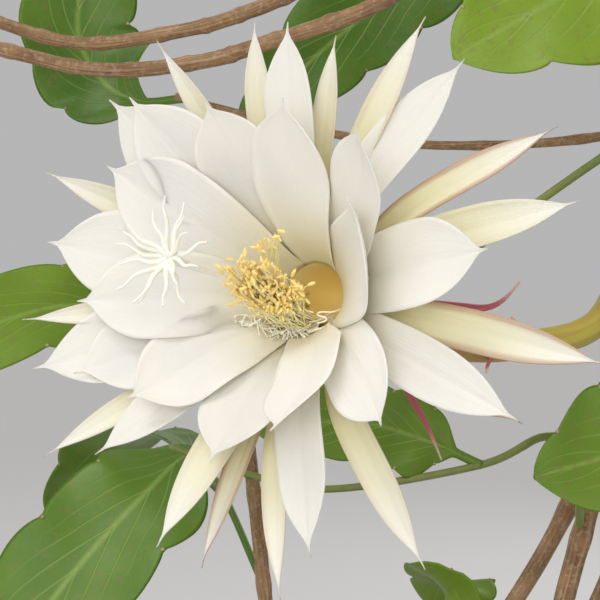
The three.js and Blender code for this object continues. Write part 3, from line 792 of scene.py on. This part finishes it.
pistilBuild = {
    "radius": 1.25,
    "path": [
        (0, 0, -45.6), (-7, 0.5, -25), (-10.8, 2.2, -9), (-9.8, 5, 0), (-3.6, 8.6, 18), (-0.6, 8.6, 47),
        (0.6, 6.2, 81),
    ],
    "lobes": 17,
    "lobeLength": 22.5,
    "lobeRadius": 0.85,
}


def makePistil():
    chance = random.Random(8)
    build = pistilBuild
    bm = startPiece()
    at = smoothRoute(build["path"])
    roundStem(bm, flowerRings(at, 60), lambda s, angle: build["radius"] * mix(1, 1.35, s ** 6), 14)
    end = at(1)
    for i in range(build["lobes"]):
        out = outward(2 * pi * (i + chance.uniform(-0.3, 0.3)) / build["lobes"])
        side = sideOf(out)
        length = build["lobeLength"] * chance.uniform(0.78, 1)
        lean = radians(68 + 10 * sin(2.1 * i))
        sway = chance.uniform(-2.2, 2.2)
        points = []
        for k in range(6):
            s = 0.03 + 0.97 * k / 5
            rise = Vector((0, 0, length * (s * cos(lean) + 0.14 * s * (1 - s)) - 1.2))
            sideways = sway * s * s + 0.8 * sin(9 * s + i)
            points.append(end + out * length * s * sin(lean) + side * sideways + rise)
        rings = flowerRings(smoothRoute(points), 22)
        roundStem(bm, rings, lambda s, angle: build["lobeRadius"] * mix(1.15, 0.4, s ** 1.5), 8)
    endPiece(bm, "style_and_stigma", [stigma], "pistil", "pistil")


makePistil()
print("pistil made")


# Materials of the plant, the pot and the soil

leafFinish = {
    "old": (0.032, 0.12, 0.01, 1),
    "young": (0.22, 0.34, 0.02, 1),
    "vein": (0.26, 0.38, 0.08, 1),
    "scar": (0.2, 0.15, 0.05, 1),
}
stemFinish = {"dark": (0.11, 0.2, 0.035, 1), "light": (0.24, 0.27, 0.07, 1), "streak": (0.3, 0.27, 0.1, 1)}
barkFinish = {
    "light": (0.4, 0.22, 0.1, 1), "dark": (0.2, 0.1, 0.045, 1), "ridge": (0.48, 0.31, 0.17, 1),
    "pore": (0.6, 0.46, 0.3, 1),
}
tubeFinish = {
    "top": (0.38, 0.17, 0.08, 1), "middle": (0.5, 0.42, 0.07, 1), "foot": (0.22, 0.3, 0.05, 1),
    "blush": (0.45, 0.13, 0.09, 1),
}
bractFinish = {
    "foot": (0.4, 0.2, 0.1, 1), "pink": (0.48, 0.085, 0.12, 1), "tip": (0.82, 0.6, 0.5, 1),
    "streak": (0.66, 0.26, 0.26, 1),
}
clayFinish = {
    "dark": (0.46, 0.19, 0.095, 1), "light": (0.56, 0.27, 0.15, 1), "salt": (0.78, 0.64, 0.52, 1),
    "speck": (0.25, 0.11, 0.07, 1),
    "turning": 2400,  # how close the rings of the potter's wheel lie
}
soilFinish = {"dark": (0.035, 0.02, 0.012, 1), "light": (0.11, 0.068, 0.04, 1)}


def leafMaterial():
    finish = leafFinish
    material, tree = startMaterial("leafyGreen")
    lines, across, along = veinLines(tree, 5, 9, 4)
    mask = patches(tree, 22, 0.55)[1]
    age = maths(tree, "ADD", times(tree, mask, 0.35), times(tree, vertexMark(tree, "tone"), 0.8))
    # the flow map's across runs round the blade, so its two midribs lie at a quarter and three quarters
    halved = maths(tree, "ABSOLUTE", maths(tree, "SUBTRACT", across, 0.5))
    fromRib = maths(tree, "ABSOLUTE", maths(tree, "SUBTRACT", halved, 0.25))
    rib = spread(tree, fromRib, 0, 0.016, (1, 0))
    slant = maths(tree, "ADD", times(tree, fromRib, -1.6), along)
    ribs = maths(tree, "SINE", times(tree, slant, 70))
    sideVeins = times(tree, spread(tree, ribs, 0.86, 1), spread(tree, fromRib, 0.19, 0.05))
    scars = spread(tree, patches(tree, 260, 1.7)[1], 0.94, 1)
    color = coats(
        tree, finish["old"], (maths(tree, "MINIMUM", age, 1), finish["young"]),
        (times(tree, sideVeins, 0.35), finish["vein"]), (times(tree, rib, 0.6), finish["vein"]),
        (times(tree, scars, 0.3), finish["scar"]),
    )
    height = maths(tree, "ADD", times(tree, sideVeins, -1.4), times(tree, lines, 1.2))
    return dress(
        material, color, spread(tree, lines, 0.2, 0.8, (0.36, 0.5)), relief(tree, height, 1, 0.4, 0.35, 500),
        soft=(0.12, (0.5, 1, 0.2), 1.5), specular=0.4,
    )


def stemMaterial():
    finish = stemFinish
    material, tree = startMaterial("greenStem")
    lines = veinLines(tree, 8, 5, 3)[0]
    color = patches(tree, 60, 0.9, finish["dark"], finish["light"])[0]
    return dress(
        material, coats(tree, color, (times(tree, lines, 0.4), finish["streak"])), 0.42,
        relief(tree, lines, 1.5, 0.35, 0.4), soft=(0.08, (0.6, 1, 0.3), 1),
    )


def barkMaterial():
    finish = barkFinish
    material, tree = startMaterial("bark")
    fibres = veinLines(tree, 16, 14, 6)[0]
    cracks = spread(tree, fibres, 0.38, 0.62)
    pores = spread(tree, patches(tree, 420, 2.6)[1], 0.86, 1)
    color = coats(
        tree, patches(tree, 55, 1.2, finish["light"], finish["dark"])[0],
        (times(tree, cracks, 0.6), finish["ridge"]), (times(tree, pores, 0.35), finish["pore"]),
    )
    return dress(material, color, 0.66, relief(tree, cracks, 2.6, 0.6, 0.7, 700))


def tubeMaterial():
    finish = tubeFinish
    material, tree = startMaterial("tubeSkin")
    lines, _, along = veinLines(tree, 14, 4, 4)
    streaks = spread(tree, lines, 0.45, 0.7)
    color = coats(
        tree, finish["top"], (spread(tree, along, 0.1, 0.62), finish["middle"]),
        (spread(tree, along, 0.62, 1), finish["foot"]), (times(tree, streaks, 0.5), finish["blush"]),
    )
    return dress(material, color, 0.4, relief(tree, streaks, 1.6, 0.35, 0.5), soft=(0.1, (1, 0.6, 0.3), 1.2))


def bractMaterial():
    finish = bractFinish
    material, tree = startMaterial("bractSkin")
    lines, _, along = veinLines(tree, 8, 2, 3)
    color = coats(
        tree, finish["foot"], (spread(tree, along, 0, 0.3), finish["pink"]),
        (spread(tree, along, 0.78, 1), finish["tip"]), (times(tree, lines, 0.35), finish["streak"]),
    )
    return dress(material, color, 0.45, relief(tree, lines, 1.2, 0.3, 0.3), soft=(0.1, (1, 0.5, 0.4), 1))


def clayMaterial():
    finish = clayFinish
    material, tree = startMaterial("firedClay")
    color, mask = patches(tree, 14, 1, finish["dark"], finish["light"])
    height = add(tree, "SeparateXYZ", {0: objectPlace(tree)}).outputs["Z"]
    # lime salts show towards the foot and under the rim band
    foot, band = spread(tree, height, 0, 0.07, (1, 0)), spread(tree, height, 0.12, 0.156, (0, 0.8))
    low = maths(tree, "MAXIMUM", foot, band)
    salts = times(tree, times(tree, spread(tree, patches(tree, 26, 2.2)[1], 0.45, 1), low), 0.5)
    specks = spread(tree, patches(tree, 700, 2.6)[1], 0.85, 1)
    rings = maths(tree, "SINE", times(tree, height, finish["turning"]))
    return dress(
        material, coats(tree, color, (salts, finish["salt"]), (times(tree, specks, 0.35), finish["speck"])),
        spread(tree, mask, 0, 1, (0.78, 0.9)), relief(tree, rings, 0.18, 0.4, 0.35, 500),
    )


def earthMaterial():
    material, tree = startMaterial("pottingSoil")
    color, mask = patches(tree, 150, 1.4, soilFinish["dark"], soilFinish["light"])
    return dress(material, color, 0.95, relief(tree, mask, 2, 0.9, 1.2, 900))


leafyGreen = leafMaterial()
greenStem = stemMaterial()
bark = barkMaterial()
tubeSkin = tubeMaterial()
bractSkin = bractMaterial()
firedClay = clayMaterial()
pottingSoil = earthMaterial()
perlite = plainFlesh("perlite", (0.8, 0.79, 0.76, 1), (0.62, 0.6, 0.56, 1), 0.9, 0, 500)
areole = plainFlesh("areoleWool", (0.3, 0.2, 0.1, 1), (0.5, 0.4, 0.24, 1), 0.95, 0, 900)
print("materials of the plant and the pot made")


# Canes and side stems: radius at the foot and at the tip, then the route, as in the CAD model

canes = {
    "cane_1": [5.6, 3.2, (25, 30, 96), (72, 44, 220), (130, 50, 340), (156, 50, 470), (146, 46, 600),
        (98, 28, 664), (44, 12, 634), (-4, 3, 606), (-50, 0, 590), (-86, 0, 580), (-134, -1, 577),
        (-184, -6, 587), (-226, -14, 590)],
    "cane_2": [5.2, 3, (-8, 52, 96), (42, 78, 240), (112, 90, 360), (150, 86, 490), (136, 72, 610),
        (84, 40, 672), (30, 16, 642), (-18, 10, 624), (-60, 8, 606), (-92, 8, 597), (-142, 8, 591),
        (-190, 4, 604), (-236, -4, 622)],
    "cane_3": [6, 3.4, (46, 0, 96), (76, -6, 260), (120, 4, 420), (166, 12, 570), (188, 10, 650),
        (196, 4, 706)],
    "cane_4": [4.6, 3.2, (-32, 22, 96), (-44, 40, 230), (-54, 46, 330), (-64, 40, 420), (-74, 34, 478)],
    "branch": [2.6, 2, (162, 11, 556), (130, 14, 549), (80, 16, 543), (20, 18, 543), (-40, 18, 552),
        (-96, 16, 566)],
}
greenStems = {
    "shoot": [2.2, 1.4, (100, -1, 355), (92, -32, 396), (76, -42, 404), (46, -50, 392), (-22, -56, 382),
        (-60, -60, 390), (-92, -64, 402)],
    "spray": [2.4, 1.8, (165, 12, 568), (146, -6, 558), (104, -18, 531), (60, -26, 500), (20, -27, 469)],
}
caneBuild = {"around": 20, "ringSpacing": 2.4, "knuckleEvery": 46, "knuckle": 0.13, "lump": 0.1}


def makeStem(name, stem, material, slot, woody):
    low, high, *points = stem
    at = smoothRoute(points)
    span = routeLength(points)
    rings = ringsAlong(at, evenly(int(span / caneBuild["ringSpacing"])))
    phase = len(name) + points[0][0]
    lump = caneBuild["lump"] * (1 if woody else 0.35)

    def radiusAt(s, turn):
        past = (s * span + phase) % caneBuild["knuckleEvery"] - 20
        knuckle = caneBuild["knuckle"] * exp(-(past / 4.5) ** 2)
        wobble = noise.noise(Vector((s * span / 24 + phase, cos(turn), sin(turn))))
        ends = min(1, (1.02 - s) / 0.02) ** 0.5 if s > 0.98 else 1
        swollen = 0.97 + (knuckle if woody else 0.4 * knuckle) + lump * wobble
        return mix(low, high, s) * swollen * max(0.25, ends)

    bm = startPiece()
    roundStem(bm, rings, radiusAt, caneBuild["around"])
    endPiece(bm, name + "_stem", [material], slot, name)


for name, stem in canes.items():
    makeStem(name, stem, bark, "cane", True)
for name, stem in greenStems.items():
    makeStem(name, stem, greenStem, "shoot", False)
print("canes and stems made")


# Cladodes, by the end of their names: width, notches a side, the way the flat side faces,
# age from 0 for old and dark to 1 for young, then the midrib from the root to the tip

cladodes = {
    "flower": [86, 6, (-0.25, -1, 0.25), 0.4, (164, 11, 563), (192, -6, 522), (178, -36, 470),
        (148, -60, 426), (108, -78, 403), (64, -92, 391)],
    "top_right": [92, 6, (0, -1, 0.35), 0.9, (186, 10, 640), (166, -22, 652), (128, -55, 630),
        (80, -78, 598), (30, -92, 568)],
    "left": [46, 5, (0, -1, 0.3), 0.55, (-66, 39, 440), (-104, 14, 458), (-152, -18, 462), (-206, -46, 438),
        (-236, -58, 404)],
    "low_left": [66, 6, (-0.2, -1, 0.45), 0.2, (-58, 44, 376), (-84, 2, 392), (-106, -36, 376),
        (-140, -60, 338), (-172, -74, 290), (-192, -82, 242)],
    "low_middle": [40, 4, (0, -1, 0.2), 0.35, (47, -50, 392), (24, -48, 402), (-10, -46, 411),
        (-56, -44, 408)],
    "behind": [54, 4, (-0.3, -1, 0.4), 0.3, (24, -27, 472), (6, -25, 462), (-14, -20, 446), (-38, -15, 430),
        (-64, -12, 420)],
    "high": [60, 5, (0.1, -1, 0.1), 0.1, (84, 40, 672), (60, 66, 666), (20, 80, 634), (-26, 68, 594),
        (-66, 54, 552)],
    "top_left": [62, 5, (0.3, -1, 0), 0.15, (-92, 16, 565), (-114, 26, 565), (-134, 38, 576),
        (-148, 44, 604), (-140, 46, 650), (-122, 44, 702)],
    "arm_end": [64, 6, (-0.7, -0.7, 0), 0.4, (-218, -13, 590), (-244, -18, 566), (-258, -22, 510),
        (-256, -28, 440), (-246, -36, 376)],
    "arm_tip": [56, 5, (-0.2, -1, 0.2), 0.6, (-230, -3, 619), (-248, 4, 652), (-256, 10, 700),
        (-246, 12, 748)],
    "crown": [66, 5, (-0.2, -0.7, -0.7), 0.5, (98, 28, 664), (88, 0, 708), (56, -32, 738), (12, -64, 742),
        (-28, -92, 716)],
    "cane_tip": [64, 5, (-0.6, -1, 0.2), 0.8, (194, 5, 694), (214, 4, 734), (234, -2, 762), (262, -14, 760),
        (288, -28, 724)],
    "right": [74, 6, (0.1, -1, 0.4), 0.75, (112, 2, 394), (160, 8, 432), (212, 4, 436), (257.6, -12, 400),
        (285.2, -26, 344)],
    "back_right": [66, 6, (0.7, 0.5, 0.4), 0.3, (134, 50, 360), (164, 80, 404), (198, 104, 412),
        (228, 118, 378), (244, 126, 326)],
    "back_high": [68, 6, (0.8, 0.6, 0.3), 0.5, (150, 86, 490), (164, 120, 538), (176, 156, 548),
        (184, 187, 512), (188, 204.6, 456)],
    "back": [66, 6, (-0.2, 1, 0.3), 0.4, (-72, 35, 466), (-60, 68, 508), (-40, 108, 520), (-22, 142, 492),
        (-14, 160, 438)],
    "back_left": [66, 6, (-0.6, 0.6, 0.5), 0.25, (-52, 46, 318), (-82, 86, 372), (-118, 120, 392),
        (-154, 146, 366), (-176, 162, 312)],
    "front_low": [58, 5, (0.3, -0.8, 0.5), 0.35, (82, -6, 284), (112, -46, 322), (146, -82, 324),
        (176, -110, 288), (194, -126, 240)],
    "low_back": [56, 5, (0.2, 0.8, 0.5), 0.6, (44, 79, 246), (48, 118, 294), (52, 154, 302),
        (58, 182, 266)],
    "base_front": [58, 5, (-0.2, -0.6, 0.7), 0.5, (-12, -40, 148), (-22, -66, 216), (-40, -104, 258),
        (-60, -146, 264), (-78, -182, 232)],
    "base_right": [56, 5, (0.5, -0.3, 0.8), 0.7, (62, -30, 148), (82, -42, 204), (122, -60, 232),
        (162, -76, 218), (192, -88, 178)],
    "base_back": [56, 5, (-0.2, 0.6, 0.7), 0.4, (-22, 66, 148), (-32, 90, 214), (-46, 122, 250),
        (-62, 154, 248), (-76, 180, 212)],
    "base_left": [60, 5, (-0.5, 0.2, 0.8), 0.3, (-54, 6, 148), (-80, 18, 206), (-122, 34, 240),
        (-164, 48, 230), (-196, 58, 190)],
}
cladodeBuild = {"columns": 44, "ringSpacing": 2.2, "edgeThickness": 0.5, "ribWidth": 0.075, "swell": 0.9}


def notchBeats(cladode):
    # the notches lie by turns on the two margins, with a bare stretch at each end
    return 2 * cladode[1] + 3


def cladodeSection(cladode, s):
    # the middle of the blade, its directions, its half width and how leafy it is at a share of its length
    width, _, facing, _, *points = cladode
    at = smoothRoute(points)
    along = tangentOf(at, s)
    across = along.cross(Vector(facing)).normalized()
    face = across.cross(along)
    opening = ease(clamp01((s - 0.12) / 0.3))
    closing = max(0, 1 - max(0, 2 * s - 1) ** 2.6) ** 0.7
    half = max(2.2 if s < 0.5 else 0.6, width / 2 * opening * closing)
    leafy = clamp01((half - 2.6) / 6) if s < 0.5 else 1
    return at(s), across, face, half, leafy


def cladodeSpot(cladode, section, s, u, sign):
    middle, across, face, half, leafy = section
    beat = s * notchBeats(cladode) * pi / 2
    swing = abs(sin(beat)) if u > 0 else abs(cos(beat))
    notch = 1 - 0.16 * leafy * (1 - swing ** 0.62) * clamp01(abs(u) * 1.6 - 0.35)
    lift = leafy * half * abs(u) * (0.15 + 0.06 * sin(2.2 * s * notchBeats(cladode) + 2 * u))
    swell = cladodeBuild["swell"] * leafy * sin(pi * abs(u)) * cos(2 * beat) * 0.5
    rib = mix(1.8, mix(2.3, 1, s), leafy)
    ridge = exp(-((u / cladodeBuild["ribWidth"]) ** 2)) * (rib - 1)
    flat = (0.55 + cladodeBuild["edgeThickness"] * (1 - abs(u))) * (1 - abs(u) ** 8)
    blade = mix(rib * (1 - u * u) ** 0.5, flat + ridge, leafy)
    if s > 0.96:
        blade *= max(0.2, (1 - s) / 0.04)
    return middle + across * u * half * notch * 0.985 + face * (lift + swell + sign * blade)


def makeCladode(name, cladode):
    columns = cladodeBuild["columns"]
    rows = int(routeLength(cladode[4:]) / cladodeBuild["ringSpacing"])
    sections = [cladodeSection(cladode, share) for share in evenly(rows)]

    def place(column, row):
        turn = 2 * (column % columns) / columns  # 0 to 1 on the front from edge to edge, then back
        u = 2 * turn - 1 if turn <= 1 else 3 - 2 * turn
        sign = 1 if turn <= 1 else -1
        u = sin(u * pi / 2) * 0.35 + u * 0.65
        return cladodeSpot(cladode, sections[row], row / rows, u, sign) * mm

    bm = startPiece()
    loft(bm, columns, rows, place, tone=cladode[3])
    bmesh.ops.recalc_face_normals(bm, faces=bm.faces[:])
    endPiece(bm, name + "_blade", [leafyGreen], "cladode", name)


def makeAreoles():
    # a small woolly cushion in every notch
    chance = random.Random(3)
    bm = startPiece()
    for cladode in cladodes.values():
        beats = notchBeats(cladode)
        for i in range(3, beats):
            s = i / beats
            u = -0.995 if i % 2 else 0.995
            section = cladodeSection(cladode, s)
            if section[4] < 0.9 or section[3] < 5:
                continue
            spot = cladodeSpot(cladode, section, s, u, 0)
            size = chance.uniform(0.7, 1.1)
            matrix = Matrix.Translation(spot * mm) @ Matrix.Scale(size * mm, 4)
            bmesh.ops.create_icosphere(bm, subdivisions=1, radius=1, matrix=matrix)
    endPiece(bm, "areoles", [areole], "cladode")


for name, cladode in cladodes.items():
    makeCladode("cladode_" + name, cladode)
makeAreoles()
print("cladodes made")


# Floral tube, from under the cup to the edge of the cladode that bears it, and its bracts.
# Each bract: place along the tube, bearing, length, width, lean at the root and at the tip, hook of the tip

tubeBuild = {
    "radius": 6.2, "ovary": 8.2, "start": 28.3, "around": 36, "rings": 110, "bractThickness": 0.9,
    "bearingNotch": 6,  # the notch of cladode_flower that it grows from
    "way": [(31, -84, 447), (68, -63, 447), (98, -53, 456)],
}
bracts = [
    (0.035, 268, 64, 4.4, 100, 104, 17),
    (0.045, 288, 44, 4, 98, 102, 9),
    (0.04, 211, 66, 4, 98, 104, -3),
    (0.04, 146, 76, 4, 92, 98, 5),
    (0.045, 118, 66, 4.5, 60, 70, 3),
    (0.05, 83, 50, 4.5, 60, 66, -3),
    (0.05, 47, 54, 4.5, 58, 66, 3),
    (0.06, 15, 46, 4.5, 58, 74, 3),
    (0.16, 200, 27, 4.5, 40, 60, 2),
    (0.24, 330, 23, 4.5, 36, 56, 2),
    (0.32, 90, 20, 4.5, 34, 54, 0),
    (0.42, 230, 17, 4.5, 32, 52, 0),
    (0.52, 350, 15, 4.5, 32, 50, 0),
    (0.62, 130, 13, 4.5, 32, 50, 0),
    (0.72, 260, 11, 4.5, 32, 50, 0),
]


def tubeRoute():
    bearer = cladodes["flower"]
    middle, across, face, half, _ = cladodeSection(bearer, tubeBuild["bearingNotch"] / notchBeats(bearer))
    joint = middle + across * half + face * 0.15 * half
    straight = [fromFlower @ Vector((0, 0, -tubeBuild["start"] - depth)) for depth in (0, 8, 22)]
    return smoothRoute([*straight, *tubeBuild["way"], joint + across * 14, joint - across * 2])


def evenShares(at, count):
    # shares that step evenly along the route's length
    fine = 400
    spots = [at(share) for share in evenly(fine)]
    lengths = [0]
    for a, b in zip(spots, spots[1:]):
        lengths.append(lengths[-1] + (b - a).length)
    shares = []
    i = 0
    for k in range(count + 1):
        goal = lengths[-1] * k / count
        while i < fine - 1 and lengths[i + 1] < goal:
            i += 1
        shares.append((i + clamp01((goal - lengths[i]) / max(lengths[i + 1] - lengths[i], 1e-9))) / fine)
    return shares


def tubeRadius(s):
    flare = (cup["neck"] + 2.4 - tubeBuild["radius"]) * max(0, 1 - s / 0.22) ** 2
    ovary = (tubeBuild["ovary"] - tubeBuild["radius"]) * exp(-(((s - 0.84) / 0.09) ** 2))
    foot = (tubeBuild["radius"] - 3) * ease(clamp01((s - 0.88) / 0.12))
    return tubeBuild["radius"] + flare + ovary - foot


def makeTube():
    at = tubeRoute()
    shares = evenShares(at, tubeBuild["rings"])

    def radiusAt(s, turn):
        ribs = 0.035 * cos(7 * turn + 5 * s) * sin(pi * clamp01(s * 1.1))
        return tubeRadius(s) * (0.985 + ribs)

    bm = startPiece()
    roundStem(bm, ringsAlong(at, shares), radiusAt, tubeBuild["around"])
    endPiece(bm, "flower_tube", [tubeSkin], "floral_tube", "floral_tube")

    leaves = startPiece()
    for row in bracts:
        bract(leaves, at, shares, row)
    piece = endPiece(leaves, "bracts", [bractSkin], "floral_tube", "floral_tube")
    thicken(piece, tubeBuild["bractThickness"])


def bract(bm, at, shares, row):
    place, bearing, length, width, leanFrom, leanTo, hook = row
    share = shares[round(place * (len(shares) - 1))]
    up = -tangentOf(at, share)
    north = (Vector((0, 0, 1)) - up * up.z).normalized()
    west = up.cross(north)
    a = radians(bearing)
    out = north * cos(a) + west * sin(a)
    side = up.cross(out)
    rows, columns = 26, 6
    now = at(share) + out * 0.6 * tubeRadius(place)
    spine = []
    for i in range(rows + 1):
        s = i / rows
        lean = radians(mix(leanFrom, leanTo, ease(s)))
        turn = radians(hook * 3.2) * ease(clamp01((s - 0.62) / 0.3))
        forward = up * cos(lean) + out * sin(lean)
        along = (forward * cos(turn) + side * sin(turn)).normalized()
        sideNow = (side * cos(turn) - forward * sin(turn)).normalized()
        spine.append((now.copy(), sideNow, sideNow.cross(along)))
        now += along * length / rows

    def spot(column, rowNumber):
        middle, sideNow, face = spine[rowNumber]
        s = rowNumber / rows
        u = 2 * column / columns - 1
        half = width / 2 * max(0.1, 1 - s ** 2.2)
        return (middle + sideNow * half * u - face * 0.35 * half * u * u) * mm

    sheet(bm, columns, rows, spot)


makeTube()
print("floral tube made")


# Pot and soil

potBuild = {
    "height": 190, "baseRadius": 76, "shoulderRadius": 101, "rimRadius": 111, "rimHeight": 32, "wall": 7,
    "floor": 9, "drainRing": 46, "drainRadius": 6, "drains": 5, "sides": 128,
}
soilBuild = {"top": 168, "crumbs": 900, "perlite": 90, "rings": 56, "sides": 150}


def potProfile():
    p = potBuild
    band = p["height"] - p["rimHeight"]
    rim, shoulder, base = p["rimRadius"], p["shoulderRadius"], p["baseRadius"]
    wall, top = p["wall"], p["height"]
    return [
        (0, 0.6), (base - 8, 0.6), (base - 6, 0), (base - 2, 0), (base - 0.6, 0.6), (base, 2.2),
        (mix(base, shoulder, 0.5), band * 0.5), (shoulder, band - 2), (shoulder + 1.2, band - 0.4),
        (rim - 4, band), (rim - 2.6, band + 1), (rim - 2, band + 3),
        (rim - 0.3, top - 6), (rim - 0.4, top - 2.4), (rim - 2.2, top - 0.4), (rim - wall + 1.6, top - 0.2),
        (rim - wall, top - 2.4), (rim - wall - 1.4, band + 6), (shoulder - wall, band - 2),
        (base - wall + 2, p["floor"] + 6), (base - wall - 4, p["floor"]), (0, p["floor"]),
    ]


def makePot():
    p = potBuild
    bm = bmesh.new()
    bm.loops.layers.uv.new("flow")
    verts = [bm.verts.new((r * mm, 0, z * mm)) for r, z in potProfile()]
    edges = [bm.edges.new(pair) for pair in zip(verts, verts[1:])]
    bmesh.ops.spin(
        bm, geom=verts + edges, axis=(0, 0, 1), cent=(0, 0, 0), angle=2 * pi, steps=p["sides"],
        use_merge=True,
    )
    closeUp(bm, bm.verts[:], 1e-6)
    piece = endPiece(bm, "clay_pot", [firedClay], "terracotta", "pot")
    drill = bmesh.new()
    for i in range(p["drains"]):
        where = outward(2 * pi * i / p["drains"], p["drainRing"], p["floor"] / 2) * mm
        bmesh.ops.create_cone(
            drill, cap_ends=True, segments=32, radius1=p["drainRadius"] * mm, radius2=p["drainRadius"] * mm,
            depth=3 * p["floor"] * mm, matrix=Matrix.Translation(where),
        )
    cutter = meshObject(drill, "drill")
    cut = piece.modifiers.new("drains", "BOOLEAN")
    cut.operation = "DIFFERENCE"
    cut.object = cutter
    cut.solver = "EXACT"
    shaped = piece.evaluated_get(bpy.context.evaluated_depsgraph_get())
    piece.data = bpy.data.meshes.new_from_object(shaped)
    piece.modifiers.clear()
    bpy.data.objects.remove(cutter)
    piece.data.shade_smooth()
    piece.data.set_sharp_from_angle(angle=radians(50))


def soilHeight(x, y):
    hills = 3 * sin(x / 13) * cos(y / 17) + 2 * sin((x + 2 * y) / 9)
    lumps = noise.fractal(Vector((x / 9, y / 9, 0)), 1, 2, 4)
    return soilBuild["top"] + 0.8 * hills + 1.6 * lumps


def makeSoil():
    p = potBuild
    band = p["height"] - p["rimHeight"]
    rings, sides = soilBuild["rings"], soilBuild["sides"]
    wide, foot, bottom = p["shoulderRadius"] - p["wall"] - 0.6, p["baseRadius"] - p["wall"], p["floor"] + 0.3
    low = [(wide, band - 4), (foot + 1.4, p["floor"] + 7), (foot - 4.6, bottom), (0, bottom)]

    def place(column, row):
        turn = 2 * pi * (column % sides) / sides
        if row <= rings:
            radius = max(0.01, wide * (row / rings) ** 0.9)
            x, y = radius * cos(turn), radius * sin(turn)
            edge = 3.5 * clamp01((row / rings - 0.93) / 0.07) ** 2
            return Vector((x, y, soilHeight(x, y) - edge)) * mm
        return outward(turn, *low[row - rings - 1]) * mm

    bm = startPiece()
    closeUp(bm, sheet(bm, sides, rings + len(low), place), 2e-5)
    endPiece(bm, "soil_bed", [pottingSoil], "soil", "soil")
    scatterCrumbs("soil_crumbs", soilBuild["crumbs"], (0.9, 3), pottingSoil, 41)
    scatterCrumbs("perlite_grains", soilBuild["perlite"], (0.8, 1.9), perlite, 43)


def scatterCrumbs(name, count, sizes, material, seed):
    chance = random.Random(seed)
    wide = potBuild["shoulderRadius"] - potBuild["wall"] - 3
    bm = startPiece()
    for _ in range(count):
        radius = wide * sqrt(chance.random())
        turn = chance.uniform(0, 2 * pi)
        x, y = radius * cos(turn), radius * sin(turn)
        size = mix(*sizes, chance.random() ** 2)
        angle = chance.uniform(0, 6.28)
        tilt = Matrix.Rotation(angle, 4, anyWay(chance, 1).normalized())
        shape = Matrix.Diagonal((size, size * chance.uniform(0.6, 1), size * chance.uniform(0.45, 0.8), 1))
        where = Matrix.Translation(Vector((x, y, soilHeight(x, y) + 0.15 * size)) * mm)
        turned = where @ tilt @ Matrix.Scale(mm, 4) @ shape
        made = bmesh.ops.create_icosphere(bm, subdivisions=1, radius=1, matrix=turned)
        offset = Vector([chance.uniform(0, 50) for _ in range(3)])
        centre = where.translation
        for vert in made["verts"]:
            push = 1 + 0.4 * noise.noise((vert.co - centre) * 500 + offset)
            vert.co = centre + (vert.co - centre) * push
    endPiece(bm, name, [material], "soil")


makePot()
makeSoil()
print("pot and soil made")


# Floor, which isn't part of the object

def makeFloor():
    bm = bmesh.new()
    bmesh.ops.create_grid(bm, x_segments=4, y_segments=4, size=studio["floorSize"] / 2)
    floor = meshObject(bm, "floor")
    material, tree = startMaterial("paleFloor")
    values = {"Base Color": studio["floorColor"], "Roughness": studio["floorRoughness"]}
    plug(tree, tree.nodes["Principled BSDF"], values)
    floor.data.materials.append(material)


makeFloor()

print("scene ready")
